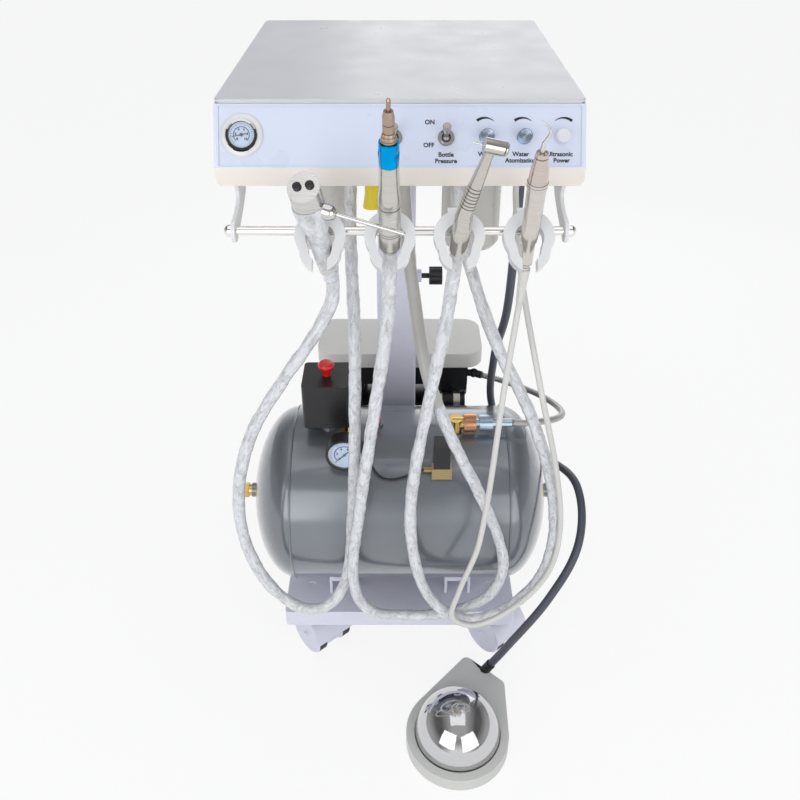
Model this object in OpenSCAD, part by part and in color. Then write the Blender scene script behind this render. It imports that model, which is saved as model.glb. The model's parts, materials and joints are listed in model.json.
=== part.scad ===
// Portable dental unit: an air tank and compressor on a castered tray, a column that carries the
// control box, and four instruments that hang in holders on a rod below the box front.
// Measured in millimetres, +Z up, seen from the front along +Y.

/* [Control box] */
// Width of the box and its lid
box_w = 400; // [380:5:480]
// Depth of the lid from its front edge to the back
box_d = 418; // [350:2:500]
// Height of the top of the lid above the floor
box_top_z = 900; // [895:5:930]
// Height of the box from its underside to the top of the lid
box_h = 86.5; // [84:0.5:100]
// How far the foot of the sloping front stands out in front of the lid
front_out = 31; // [20:1:36]
// Height of the upright lip under the sloping front
lip_h = 20.5; // [14:0.5:26]
// Sheet thickness of the shell and the panel
sheet_t = 1.5; // [1:0.1:2.5]
// Thickness of the lid
lid_t = 5; // [3:0.5:8]
// Width of the rim left at each end of the front panel
panel_rim = 5; // [4:0.5:8]
// Width of the rim left above and below the front panel
panel_edge = 2; // [2:0.5:3]

/* [Panel fittings] */
// Outer diameter of the ring round the pressure gauge
gauge_ring_d = 46; // [40:1:50]
// Diameter of the gauge case
gauge_case_d = 33.5; // [28:0.5:36]
// Diameter of the threaded bush of a toggle
toggle_bush_d = 13; // [10:0.5:16]
// Diameter of the ring nut of a toggle
toggle_nut_d = 18; // [17:0.5:24]
// Length of a toggle lever in front of its bush
lever_len = 24; // [16:1:28]
// Angle of a toggle lever from straight out
lever_angle = 24; // [12:1:28]
// Diameter of a control knob
knob_d = 15; // [12:0.5:18]
// Length of a control knob
knob_len = 14; // [10:0.5:18]
// Distance between knob centres
knob_pitch = 40.5; // [34:0.5:46]

/* [Holders] */
// Diameter of the holder rod
rod_d = 10; // [8:0.5:13]
// Distance from the lid front edge forward to the rod
rod_out = 58; // [56:1:66]
// Height of the rod below the underside of the box
rod_drop = 41; // [38:1:50]
// Thickness of a rod bracket
bracket_t = 4; // [3:0.5:6]
// Distance between holders
holder_pitch = 73.3; // [60:0.1:80]
// Width of a holder
holder_w = 54; // [48:1:56]
// Length of a holder along its sloping face
holder_l = 66; // [62:1:72]
// Thickness of a holder
holder_t = 15; // [12:1:18]
// Width of the hole through a holder
holder_hole_w = 31; // [31:1:34]
// Width of the slot in the front of a holder
holder_slot_w = 16; // [12:1:20]
// Slope of a holder's face
holder_slope = 50; // [46:1:54]
// Forward lean of the hanging instruments
lean = 18; // [15:1:20]

/* [Instruments] */
// Diameter of the syringe handle
syringe_d = 21; // [18:0.5:22]
// Diameter of the air motor
motor_d = 23; // [20:0.5:23.5]
// Diameter of the turbine handle
turbine_d = 19.5; // [17:0.5:20.5]
// Diameter of the scaler handle
scaler_d = 18.5; // [16:0.5:20]

/* [Cart] */
// Width of the tray
tray_w = 354; // [345:2:425]
// Depth of the tray
tray_d = 430; // [425:2:516]
// Height of the tray's top face above the floor
tray_z = 104.5; // [103:0.5:108]
// Height of the tray's edge
tray_edge = 29.5; // [16:0.5:29.5]
// Outer diameter of the air tank
tank_d = 260; // [220:2:262]
// Length of the air tank over its heads
tank_l = 440; // [400:2:440]
// Wall thickness of the tank
tank_wall = 3; // [2:0.5:5]
// Height of the tank's axis above the tray
tank_rise = 158.5; // [156:0.5:164]
// Distance from the tray's front edge back to the tank's axis
tank_y = 100; // [98:1:106]
// Outer width of the square column
column_w = 60; // [50:1:62]
// Wall thickness of the column tubes
column_wall = 2; // [1.5:0.5:3]
// Height of the top of the outer column above the floor
column_split_z = 575; // [560:5:620]
// How far the column can be raised
column_travel = 80; // [40:5:100]
// Diameter of a caster wheel
wheel_d = 70; // [60:1:70]
// Width of one wheel of a twin caster
wheel_w = 20; // [14:1:22]
// Distance from a caster's swivel to its wheel axle
caster_trail = 22; // [14:1:24]

/* [Compressor] */
// Width of the compressor hood
hood_w = 280; // [250:5:300]
// Depth of the compressor hood
hood_d = 118; // [110:2:122]
// Height of the compressor hood
hood_h = 28; // [22:1:40]
// Radius of the rounded corners of the hood, seen from above
hood_corner_r = 28; // [10:1:40]
// Wall thickness of the hood
hood_wall = 3; // [2:0.5:5]
// Height of the hood's top above the floor
hood_top_z = 384; // [376:1:396]
// Diameter of the compressor motor
pump_motor_d = 108; // [90:2:110]

/* [Foot pedal] */
// Diameter of the round part of the pedal base
pedal_d = 148; // [144:2:156]
// Diameter of the domed pedal
dome_d = 122; // [110:1:124]
// Height of the dome
dome_h = 58; // [40:1:60]
// Height of the pedal base
pedal_base_h = 22; // [18:1:26]
// Travel of the pedal
pedal_travel = 6; // [4:0.5:7]

/* [Hoses] */
// Diameter of an instrument hose in its clear wrap
hose_d = 16; // [12:0.5:17]
// Diameter of the scaler cable
cable_d = 7.5; // [6:0.5:8]
// Diameter of the pedal hose
pedal_hose_d = 12; // [8:0.5:13]
// Diameter of the braided air hose
braided_d = 10; // [8:0.5:11]

/* [Hidden] */

// Fits: a running fit, and the gap between bodies that pass each other
run_fit = 0.05;
body_gap = 0.3;

// Box
box_z = box_top_z - box_h;
lid_z = box_top_z - lid_t;
slope_h = lid_z - box_z - lip_h;
panel_lean = atan(front_out / slope_h);
slope_l = sqrt(front_out * front_out + slope_h * slope_h);
panel_y = -front_out / 2;
panel_z = lid_z - slope_h / 2;
window_h = slope_l - 2 * panel_edge;
corner_r = 8;

// Panel layout, measured along the sloping face from its middle
gauge_at = [-box_w / 2 + 30, 1];
power_at = [-6.5, -2];
bottle_at = [49.5, -2];
knob_right = box_w / 2 - 26;
knob_at = [for (k = [2, 1, 0]) [knob_right - k * knob_pitch, -1]];
knob_shaft_d = 6;
panel_fit = 0.2;
gauge_depth = 24;
dial_depth = 3;
lever_ball_d = toggle_bush_d - 3.6;
lever_pivot = 1.5;

// Rod and holders
rod_y = -rod_out;
rod_z = box_z - rod_drop;
bracket_x = box_w / 2 - 22.5;
holder_y = rod_y - 28;
holder_z = rod_z - 0.5;
holder_x = [for (i = [0:3]) -84 + i * holder_pitch];
// Sideways lean of the syringe, air motor, turbine and scaler
side_lean = [-9, 0, 5, 0];
boss_d = rod_d + 10;
boss_w = 24;

// Instrument landmarks along each axis, zero at the middle of the holder
syringe_tail = -40;
syringe_neck = 46;
motor_tail = -10;
motor_top = 54;
nose_ring = 103;
ring_len = 27;
turbine_tail = -12;
turbine_bend = 40;
turbine_bend_angle = 9;
turbine_neck = 84;
scaler_tail = -38;
sleeve_end = -89;
scaler_nose = 117;

// Cart
tank_r = tank_d / 2;
tank_z = tray_z + tank_rise;
tank_head = tank_r / 2;
tank_half = tank_l / 2 - tank_head;
port_d = 12;
plug_len = 20;
column_x = -5;
column_y = tank_y + tank_r + 4 + column_w / 2;
inner_w = column_w - 2 * column_wall - 2 * run_fit;
base_plate_t = 5;
knob_rod_z = column_split_z - 24;
knob_rod_d = 8;
tray_t = 1.5;
caster_in_x = 37;
caster_in_y = 55;
caster_at = [[-1, 0], [1, 0], [-1, 1], [1, 1]];
// Which way each caster has swung
caster_yaw = [40, 40, 40, 40];
stem_d = 11;
axle_d = 8;
fork_w = 24;
fender_r = wheel_d / 2 + 3;

// Compressor
pump_y = column_y + column_w / 2 + 6 + hood_d / 2;
hood_z = hood_top_z - hood_h;
pump_shaft_z = tray_z + 112;
fan_d = 84;

// Tank fittings
switch_w = 67;
switch_d = 64;
switch_h = 70;
switch_at = [-103.5, 92];
switch_z = tank_z + tank_r + 20;
check_at = [80, 75];
check_z = tank_z + tank_r + 18;
gauge2_at = [-76, 5, tank_z + tank_r + 14];
gauge2_d = 52;
// The valve screws into the front of the tank, this far up round its shell
solenoid_a = 59.5;
solenoid_at = [58, tank_y - tank_r * cos(solenoid_a) - 29, tank_z + tank_r * sin(solenoid_a)];

// Pedal
pedal_x = 83;
pedal_y = -144;
cap_wall = 2;
cap_r = (pow(dome_d / 2, 2) + dome_h * dome_h) / (2 * dome_h);
cap_stem_d = 12;
cap_rim_z = pedal_base_h + 2;
well_z = pedal_base_h - pedal_travel - 3;

// The origin is under the middle of the cart and pedal taken together
pedal_front = pedal_y - pedal_d / 2;
cart_back = max(box_d, tray_d);
cart_shift = -(pedal_front + cart_back) / 2;

// Outlets on the manifold: x, y and radius
outlets = [[-60, 60, 8], [5, 60, 8], [70, 60, 8], [140, 60, 5], [150, 100, 6.5]];
outlet_z = box_z - 13.5;

// An instrument's axis, and a point on it
function axis_of(i) = [sin(side_lean[i]), -sin(lean) * cos(side_lean[i]),
    cos(lean) * cos(side_lean[i])];
function holder_c(i) = [holder_x[i], holder_y, holder_z];
function on_axis(i, s) = holder_c(i) + s * axis_of(i);
function outlet_end(k) = [outlets[k][0], outlets[k][1], outlet_z];

// Routes of the hoses, from the instrument to the box
syringe_route = concat([on_axis(0, syringe_tail - run_fit), on_axis(0, syringe_tail - 20)],
    [[-78, -62, 685], [-98, -64, 645], [-140, -65, 580], [-185, -70, 500], [-210, -70, 390],
    [-200, -70, 290], [-165, -65, 210], [-120, -60, 180], [-85, -50, 205], [-68, -45, 290],
    [-55, -30, 590], [-60, 40, 720], [-60, 60, 765]], [outlet_end(0)]);
lowspeed_route = concat([on_axis(1, motor_tail - run_fit), on_axis(1, motor_tail - 20)],
    [[-15, -70, 660], [-55, -65, 360], [-65, -65, 250], [-45, -60, 180], [10, -50, 155],
    [80, -45, 160], [130, -45, 195], [145, -45, 255], [125, -45, 335], [40, -35, 545],
    [15, 25, 665], [5, 60, 760]], [outlet_end(1)]);
highspeed_route = concat([on_axis(2, turbine_tail - run_fit), on_axis(2, turbine_tail - 20)],
    [[55, -65, 680], [15, -65, 400], [20, -65, 285], [45, -65, 205], [95, -65, 165],
    [150, -60, 180], [195, -55, 235], [210, -50, 310], [200, -45, 400], [165, -40, 510],
    [115, -15, 610], [80, 35, 705], [70, 60, 760]], [outlet_end(2)]);
scaler_route = concat([on_axis(3, sleeve_end), on_axis(3, sleeve_end - 15)],
    [[125, -70, 580], [105, -85, 340], [80, -85, 240], [75, -80, 185], [110, -75, 165],
    [165, -70, 200], [205, -65, 260], [215, -60, 335], [200, -60, 440], [170, -55, 565],
    [145, 10, 690], [140, 60, 765]], [outlet_end(3)]);
pedal_gland = [140, -40, 35];
pedal_route = concat([outlet_end(4)],
    [[150, 100, 740], [150, 130, 570], [145, 200, 440], [155, 245, 310], [200, 230, 240],
    [245, 165, 265], [270, 80, 285], [260, 0, 250], [220, -30, 170], [160, -40, 70]],
    [pedal_gland]);
ferrule_end = [160, check_at[1], check_z];
elbow_before = [170, 295, 335];
elbow_end = [140, 310, 335];
elbow_dir = unit(elbow_end - elbow_before);
braided_route = concat([ferrule_end],
    [ferrule_end + [22, 0, 0], [235, 115, 390], [250, 180, 360], [225, 240, 345]],
    [elbow_before, elbow_end]);

// ---- Small helpers ----

module placed() {
    translate([0, cart_shift, 0]) children();
}

module along_x(d, l) {
    rotate([0, 90, 0]) cylinder(h = l, d = d, center = true, $fn = 96);
}

module along_y(d, l) {
    rotate([90, 0, 0]) cylinder(h = l, d = d, center = true, $fn = 96);
}

module round_rect(w, d, r) {
    square([w - 2 * r, d], center = true);
    square([w, d - 2 * r], center = true);
    for (x = [-1, 1], y = [-1, 1])
        translate([x * (w / 2 - r), y * (d / 2 - r)]) circle(r, $fn = 48);
}

module on_panel(at, out = 0) {
    translate([0, panel_y, panel_z]) rotate([90 - panel_lean, 0, 0])
        translate([at[0], at[1], out]) children();
}

module on_instrument(i) {
    translate(holder_c(i)) rotate([lean, 0, 0]) rotate([0, side_lean[i], 0]) children();
}

// ---- Swept tubes ----

function unit(v) = v / norm(v);
function heading(p, i) =
    i == 0 ? unit(p[1] - p[0]) :
    i == len(p) - 1 ? unit(p[i] - p[i - 1]) :
    unit(unit(p[i + 1] - p[i]) + unit(p[i] - p[i - 1]));
function across(n, t) = unit(n - (n * t) * t);
function normals(p, n, i = 0) =
    i == len(p) ? [] :
    let (m = across(n, heading(p, i))) concat([m], normals(p, m, i + 1));

module tube(p, r, start = [1, 0, 0], sides = 10) {
    ns = normals(p, start);
    n = len(p);
    points = [for (i = [0:n - 1], k = [0:sides - 1])
        let (t = heading(p, i), a = 360 * k / sides)
        p[i] + r * (cos(a) * ns[i] + sin(a) * cross(t, ns[i]))];
    walls = [for (i = [0:n - 2], k = [0:sides - 1], h = [0, 1])
        let (a = i * sides + k, b = i * sides + (k + 1) % sides)
        h == 0 ? [a, a + sides, b + sides] : [a, b + sides, b]];
    ends = [for (k = [1:sides - 2], h = [0, 1])
        let (o = (n - 1) * sides)
        h == 0 ? [0, k, k + 1] : [o, o + k + 1, o + k]];
    polyhedron(points = points, faces = concat(walls, ends));
}

// ---- Control box ----

module box_profile(inset) {
    polygon([[inset, lid_z], [box_d - inset, lid_z], [box_d - inset, box_z + inset],
        [-front_out + inset, box_z + inset], [-front_out + inset, box_z + lip_h],
        [inset, lid_z]]);
}

module box_solid(inset) {
    intersection() {
        rotate([90, 0, 90]) translate([0, 0, -box_w / 2 + inset])
            linear_extrude(box_w - 2 * inset) box_profile(inset);
        translate([0, box_d + 1, (box_z + lid_z) / 2 + 10]) rotate([90, 0, 0])
            linear_extrude(box_d + front_out + 60)
                round_rect(box_w - 2 * inset, lid_z - box_z + 20 - 2 * inset, corner_r - inset);
    }
}

module box_shell() {
    color([0.95, 0.94, 0.92]) difference() {
        box_solid(0);
        difference() {
            box_solid(sheet_t);
            for (x = [-1, 1]) translate([x * (box_w / 2 - 6), box_d / 2, lid_z - 4])
                cube([12, box_d - 60, 2], center = true);
        }
        on_panel([0, 0]) cube([box_w - 2 * panel_rim, window_h, 12],
            center = true);
        for (o = outlets) translate([o[0], o[1], box_z - 1])
            cylinder(h = 4, r = o[2] + 0.5, $fn = 48);
        // Vents in the back
        for (k = [-4:4]) translate([k * 16, box_d, (box_z + lid_z) / 2])
            cube([5, 8, 36], center = true);
    }
}

module box_lid() {
    color([0.83, 0.84, 0.85]) translate([0, box_d / 2, lid_z]) {
        linear_extrude(lid_t) round_rect(box_w, box_d, corner_r);
        // Locating strips inside the walls
        for (x = [-1, 1]) translate([x * (box_w / 2 - 14.5), 0, -2.9])
            cube([3, box_d - 70, 5.9], center = true);
    }
}

module front_panel() {
    color([0.89, 0.92, 0.98]) difference() {
        on_panel([0, 0], -sheet_t - 1.6) difference() {
            translate([0, 0, 0.75]) cube([box_w - 4 * sheet_t, slope_l - 2 * body_gap, 1.5],
                center = true);
            translate([gauge_at[0], gauge_at[1], -1]) cylinder(h = 4, d = gauge_case_d - 4, $fn = 64);
            for (at = [power_at, bottle_at]) translate([at[0], at[1], -1])
                cylinder(h = 4, d = toggle_bush_d + 2 * run_fit, $fn = 64);
            for (at = knob_at) translate([at[0], at[1], -1])
                cylinder(h = 4, d = knob_shaft_d + 2 * run_fit, $fn = 64);
        }
    }
}

panel_face = -sheet_t - 0.1;

module panel_gauge() {
    // Pale ring, then the case with its black bezel; the dial lies inside the bezel
    color([0.93, 0.89, 0.93]) on_panel(gauge_at, panel_face) rotate_extrude($fn = 96)
        polygon([[gauge_case_d / 2 + 0.2, 0], [gauge_ring_d / 2, 0], [gauge_ring_d / 2, 1.5],
            [gauge_ring_d / 2 - 1.5, 3], [gauge_case_d / 2 + 1.5, 4],
            [gauge_case_d / 2 + 0.2, 3.5]]);
    color([0.08, 0.08, 0.09]) on_panel(gauge_at, panel_face) difference() {
        union() {
            translate([0, 0, 0]) cylinder(h = 6, d = gauge_case_d, $fn = 96);
            translate([0, 0, -gauge_depth]) cylinder(h = gauge_depth + 1, d = gauge_case_d - 4.4,
                $fn = 96);
            translate([0, 0, -gauge_depth - 12]) cylinder(h = 13, d = 10, $fn = 48);
        }
        translate([0, 0, 6 - dial_depth]) cylinder(h = 4, d = gauge_case_d - 5, $fn = 96);
        translate([0, 0, 1]) cylinder(h = 4, d = 2 + 2 * run_fit, $fn = 48);
    }
}

module needle(len_tip, len_tail, w, thick) {
    linear_extrude(thick) polygon([[-len_tail, -w * 0.8], [0, -w], [len_tip, -w * 0.2],
        [len_tip, w * 0.2], [0, w], [-len_tail, w * 0.8]]);
    cylinder(h = thick + 0.4, d = 3.6, $fn = 48);
}

module gauge_needle() {
    color([0.06, 0.06, 0.1]) on_panel(gauge_at, panel_face) {
        translate([0, 0, 6 - dial_depth + 0.8]) rotate([0, 0, 192])
            needle(gauge_case_d / 2 - 5, 5, 0.6, 0.5);
        translate([0, 0, 1.2]) cylinder(h = 6 - dial_depth - 0.2, d = 2, $fn = 48);
    }
}

module toggle_bush(at) {
    on_panel(at, panel_face) difference() {
        union() {
            cylinder(h = 3, d = toggle_nut_d, $fn = 96);
            translate([0, 0, -12]) cylinder(h = 17, d = toggle_bush_d, $fn = 96);
            translate([0, 0, -26]) cylinder(h = 15, d = toggle_bush_d + 6, $fn = 96);
        }
        translate([0, 0, lever_pivot - lever_ball_d / 2 - 0.8])
            cylinder(h = 20, d = lever_ball_d + 2 * body_gap, $fn = 96);
    }
}

module toggle_bushes() {
    color("silver") {
        toggle_bush(power_at);
        toggle_bush(bottle_at);
    }
}

module lever(at) {
    color([0.66, 0.64, 0.6]) on_panel(at, panel_face + lever_pivot) {
        sphere(d = lever_ball_d, $fn = 64);
        rotate([-lever_angle, 0, 0]) rotate_extrude($fn = 64)
            polygon([[0, 0], [2.3, 0], [2.5, lever_len * 0.35], [4.6, lever_len - 2],
                [3.8, lever_len], [0, lever_len + 0.6]]);
    }
}

module bottle_lever() {
    lever(bottle_at);
}

module power_lever() {
    lever(power_at);
}

module knob(k, rim) {
    on_panel(knob_at[k], panel_face) {
        difference() {
            translate([0, 0, body_gap]) rotate_extrude($fn = 96)
                polygon([[0, 0], [knob_d / 2 + 0.4, 0], [knob_d / 2 + 0.4, 2], [knob_d / 2, 2.6],
                    [knob_d / 2, knob_len - 1], [knob_d / 2 - rim, knob_len], [0, knob_len - 1]]);
            for (a = [0:15:345]) rotate([0, 0, a]) translate([knob_d / 2 + 0.3, 0, 3.4])
                cylinder(h = knob_len - 6, d = 1.2, $fn = 16);
        }
        translate([0, 0, -14]) cylinder(h = 15, d = knob_shaft_d, $fn = 48);
    }
}

module knob_water() {
    color([0.72, 0.74, 0.78]) knob(0, 0.8);
}

module knob_atomization() {
    color([0.72, 0.74, 0.78]) knob(1, 0.8);
}

module knob_ultrasonic() {
    color([0.95, 0.95, 0.96]) knob(2, 1.2);
}

module valve_manifold() {
    color([0.75, 0.76, 0.78]) {
        translate([-85, 48, box_z + sheet_t]) cube([255, 66, 26]);
        for (o = outlets) translate([o[0], o[1], outlet_z])
            cylinder(h = box_z + sheet_t - outlet_z + 1, r = o[2], $fn = 64);
    }
}

// ---- Rod and holders ----

function bez(a, b, c, d, t) = pow(1 - t, 3) * a + 3 * t * pow(1 - t, 2) * b
    + 3 * t * t * (1 - t) * c + pow(t, 3) * d;
bracket_steps = 10;
bracket_end_r = 12.5;
function bracket_front(t) = bez([-28, box_z], [-10, box_z - 22],
    [rod_y + 22, rod_z + 14], [rod_y - 5, rod_z + 11.5], t);
function bracket_back(t) = bez([24, box_z], [42, box_z - 26],
    [rod_y + 44, rod_z + 4], [rod_y + 5, rod_z - 11.5], t);

module bracket() {
    rotate([90, 0, 90]) linear_extrude(bracket_t) difference() {
        union() {
            polygon(concat([for (k = [0:bracket_steps]) bracket_front(k / bracket_steps)],
                [for (k = [bracket_steps:-1:0]) bracket_back(k / bracket_steps)]));
            translate([rod_y, rod_z]) circle(r = bracket_end_r, $fn = 96);
        }
        translate([rod_y, rod_z]) circle(d = rod_d - 2 + 2 * run_fit, $fn = 96);
    }
}

module rod_brackets() {
    color([0.93, 0.93, 0.93]) for (s = [0, 1]) mirror([s, 0, 0]) {
        translate([bracket_x, 0, 0]) bracket();
        translate([bracket_x - 14, -20, box_z - 2.5]) cube([14.5, 40, 2.5]);
    }
}

module holder_rod() {
    nut_l = 9.5;
    // Rod with a thinner threaded end through each bracket, and an acorn nut on each end
    color("silver") translate([0, rod_y, rod_z]) {
        along_x(rod_d, 2 * bracket_x);
        along_x(rod_d - 2, 2 * (bracket_x + bracket_t + 5));
    }
    color("silver") for (s = [-1, 1])
        translate([s * (bracket_x + bracket_t), rod_y, rod_z]) rotate([0, s * 90, 0])
            difference() {
                rotate_extrude($fn = 64) polygon([[0, 0], [7, 0], [7, 4.5], [6, 6.5],
                    [4, 8.5], [2, 9.3], [0, nut_l]]);
                translate([0, 0, -1]) cylinder(h = 7, d = rod_d - 2 + 2 * run_fit, $fn = 48);
            }
}

module egg(w, l) {
    // Wide at the top, drawn in towards the front end
    translate([0, (l - w) / 2]) circle(d = w, $fn = 96);
    translate([0, -(l - w * 0.8) / 2]) circle(d = w * 0.8, $fn = 96);
    polygon([[-w / 2, (l - w) / 2], [-w * 0.4, -(l - w * 0.8) / 2],
        [w * 0.4, -(l - w * 0.8) / 2], [w / 2, (l - w) / 2]]);
}

module holder() {
    hole_l = holder_hole_w + 10;
    difference() {
        union() {
            rotate([holder_slope, 0, 0]) translate([0, 0, -holder_t / 2])
                linear_extrude(holder_t) egg(holder_w, holder_l);
            // Boss that grips the rod, and the web that carries it
            translate([0, rod_y - holder_y, rod_z - holder_z]) along_x(boss_d, boss_w);
            rotate([90, 0, 90]) translate([0, 0, -boss_w / 2]) linear_extrude(boss_w)
                polygon([[14, 26], [22, 30], [36, 6], [20, 2]]);
        }
        rotate([holder_slope, 0, 0]) translate([0, -1.5, -40]) linear_extrude(80)
            egg(holder_hole_w, hole_l);
        rotate([holder_slope, 0, 0]) translate([-holder_slot_w / 2, -holder_l, -20])
            cube([holder_slot_w, holder_l, 40]);
        rotate([lean, 0, 0]) translate([0, 0, -60]) cylinder(h = 70, d = holder_hole_w - 4, $fn = 96);
        translate([0, rod_y - holder_y, rod_z - holder_z]) along_x(rod_d + 2 * run_fit, 60);
    }
}

module instrument_holders() {
    color([0.96, 0.96, 0.96]) for (i = [0:3]) translate(holder_c(i)) holder();
}

// ---- Instruments ----

module lathe(points) {
    rotate_extrude($fn = 96) polygon(points);
}

button_at = [[-6.5, 1], [6.5, 1]];
button_d = 9;
head_d = 34;
head_top = syringe_neck + 30;
head_slope = 20;

module syringe_body() {
    color("silver") on_instrument(0) difference() {
        union() {
            lathe([[0, syringe_tail], [syringe_d / 2, syringe_tail],
                [syringe_d / 2, syringe_neck - 24], [head_d / 2, syringe_neck],
                [head_d / 2, head_top + 8], [0, head_top + 8]]);
            // Ball seat that the nozzle turns in
            translate([0, 0, nozzle_s]) rotate(nozzle_turn) {
                translate([0, 0, head_d / 2 - 3]) cylinder(h = 8, d = 18, $fn = 96);
                translate([0, 0, head_d / 2 + 5]) lathe([[0, 0], [9, 0], [8, 3.5], [5.5, 6.5],
                    [3, 7.5], [0, 7.5]]);
            }
        }
        // Sloping top with two button wells
        translate([0, 0, head_top]) rotate([head_slope, 0, 0]) translate([-30, -30, 0])
            cube([60, 60, 40]);
        for (b = button_at) translate([0, 0, head_top]) rotate([head_slope, 0, 0])
            translate([b[0], b[1], -7]) cylinder(h = 20, d = button_d + 2 * run_fit, $fn = 64);
        // Bore for the nozzle
        translate([0, 0, nozzle_s]) rotate(nozzle_turn) translate([0, 0, 8])
            cylinder(h = 40, d = nozzle_d + 2 * run_fit, $fn = 64);
    }
}

module syringe_button(k) {
    on_instrument(0) translate([0, 0, head_top]) rotate([head_slope, 0, 0])
        translate([button_at[k][0], button_at[k][1], -3]) lathe([[0, 0], [button_d / 2, 0],
            [button_d / 2, 5.2], [button_d / 2 - 0.8, 6], [0, 6]]);
}

module syringe_air_button() {
    color([0.2, 0.22, 0.25]) syringe_button(1);
}

module syringe_water_button() {
    color([0.2, 0.22, 0.25]) syringe_button(0);
}

nozzle_s = 50;
nozzle_turn = [0, 105, -17];
nozzle_d = 4.6;
nozzle_len = 82;

module syringe_nozzle() {
    color("silver") on_instrument(0) translate([0, 0, nozzle_s]) rotate(nozzle_turn)
        translate([0, 0, 10]) difference() {
            lathe([[0, 0], [nozzle_d / 2, 0], [nozzle_d / 2, nozzle_len + 8],
                [nozzle_d / 2 - 0.6, nozzle_len + 10], [0, nozzle_len + 10]]);
            translate([0, 0, nozzle_len]) cylinder(h = 12, d = 1.4, $fn = 32);
        }
}

module lowspeed_motor() {
    r = motor_d / 2;
    color([0.86, 0.85, 0.83]) on_instrument(1) lathe([[0, motor_tail], [r - 3, motor_tail],
        [r, motor_tail + 5], [r, motor_top - 16], [r - 0.5, motor_top - 15.5],
        [r, motor_top - 15], [r, motor_top], [6, motor_top], [6, motor_top + 8],
        [0, motor_top + 8]]);
}

module lowspeed_nose() {
    r = motor_d / 2;
    z = motor_top + 0.1;
    e = nose_ring;
    color([0.86, 0.85, 0.83]) on_instrument(1) difference() {
        lathe([[0, z], [r, z], [r + 0.5, z + 6], [r - 1, z + 22], [r - 1.6, e - 8],
            [r - 1.6, e], [7.4, e], [7.4, e + ring_len], [8, e + ring_len],
            [8.3, e + ring_len + 2], [6.5, e + ring_len + 9], [6.2, e + ring_len + 10],
            [5.9, e + ring_len + 10], [5.9, e + ring_len + 28], [4.6, e + ring_len + 34],
            [0, e + ring_len + 34]]);
        translate([0, 0, z - 1]) cylinder(h = 9, d = 12 + 2 * run_fit, $fn = 64);
        translate([0, 0, e + 4]) cylinder(h = 60, d = bur_shank_d + 2 * run_fit, $fn = 64);
    }
}

bur_shank_d = 4.4;

module lowspeed_lock_ring() {
    // Turned ring with shallow oval flats round it
    r = motor_d / 2 - 1.6;
    color([0.05, 0.62, 0.9]) on_instrument(1) difference() {
        lathe([[7.45, nose_ring + body_gap], [r, nose_ring + body_gap],
            [r + 0.6, nose_ring + ring_len / 2], [r, nose_ring + ring_len - body_gap],
            [7.45, nose_ring + ring_len - body_gap]]);
        for (a = [0:60:300]) rotate([0, 0, a + 20])
            translate([r + 26.4, 0, nose_ring + ring_len / 2]) along_y(54, 7);
    }
}

module lowspeed_bur() {
    color([0.8, 0.72, 0.6]) on_instrument(1) lathe([[0, nose_ring + 6],
        [bur_shank_d / 2, nose_ring + 6], [bur_shank_d / 2, nose_ring + ring_len + 45],
        [bur_shank_d / 2 - 0.8, nose_ring + ring_len + 47], [0, nose_ring + ring_len + 47.5]]);
}

module on_turbine_neck() {
    on_instrument(2) translate([0, 0, turbine_bend]) rotate([0, turbine_bend_angle, 0]) children();
}

turbine_head_d = 15;
turbine_head_l = 19;
turbine_head_x = 2;

module highspeed_body() {
    r = turbine_d / 2;
    color([0.8, 0.79, 0.76]) difference() {
        union() {
            on_instrument(2) lathe([[0, turbine_tail], [r, turbine_tail],
                [r + 0.4, turbine_tail + 20], [r, turbine_bend - 6], [r - 0.8, turbine_bend],
                [0, turbine_bend + 1]]);
            on_turbine_neck() {
                sphere(r = r - 0.8, $fn = 64);
                lathe([[0, 0], [r - 0.8, 0], [8.2, 26], [6.8, turbine_neck - 34],
                    [5.4, turbine_neck - 14], [4.9, turbine_neck], [0, turbine_neck]]);
                translate([turbine_head_x, 0, turbine_neck + 3])
                    along_x(turbine_head_d, turbine_head_l);
            }
        }
        // Bore for the turbine, open at both ends of the head
        on_turbine_neck() translate([turbine_head_x, 0, turbine_neck + 3]) {
            along_x(4 + 2 * run_fit, turbine_head_l + 2);
            translate([turbine_head_l / 2, 0, 0]) along_x(9 + 2 * run_fit, 9);
        }
    }
}

module highspeed_button() {
    color([0.8, 0.79, 0.76]) on_turbine_neck()
        translate([turbine_head_x + turbine_head_l / 2, 0, turbine_neck + 3])
            rotate([0, 90, 0]) lathe([[0, -3], [4.5, -3], [4.5, 1.6], [7.2, 1.6], [7.2, 3],
                [6, 4.4], [0, 4.8]]);
}

module highspeed_bur() {
    x = turbine_head_x - turbine_head_l / 2;
    color([0.75, 0.75, 0.78]) on_turbine_neck() translate([x, 0, turbine_neck + 3])
        rotate([0, -90, 0]) lathe([[0, -11], [2, -11], [2, 1], [0.8, 2], [0.8, 6], [1, 9.5],
            [0.4, 11], [0, 11]]);
}

tip_seat = scaler_nose - 8;

module scaler_body() {
    r = scaler_d / 2;
    color([0.82, 0.82, 0.83]) on_instrument(3) difference() {
        lathe([[0, scaler_tail], [5, scaler_tail], [5, -30], [7.4, -29], [7.4, 2], [r - 0.6, 3],
            [r, 12], [r + 0.6, 74], [r + 1.4, 75], [r + 1.4, 82], [r + 0.6, 83],
            [r + 0.3, 91], [r - 0.8, 100], [r - 2.4, 109], [6.2, scaler_nose], [0, scaler_nose]]);
        translate([0, 0, tip_seat]) cylinder(h = 20, d = 9, $fn = 64);
    }
}

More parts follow.
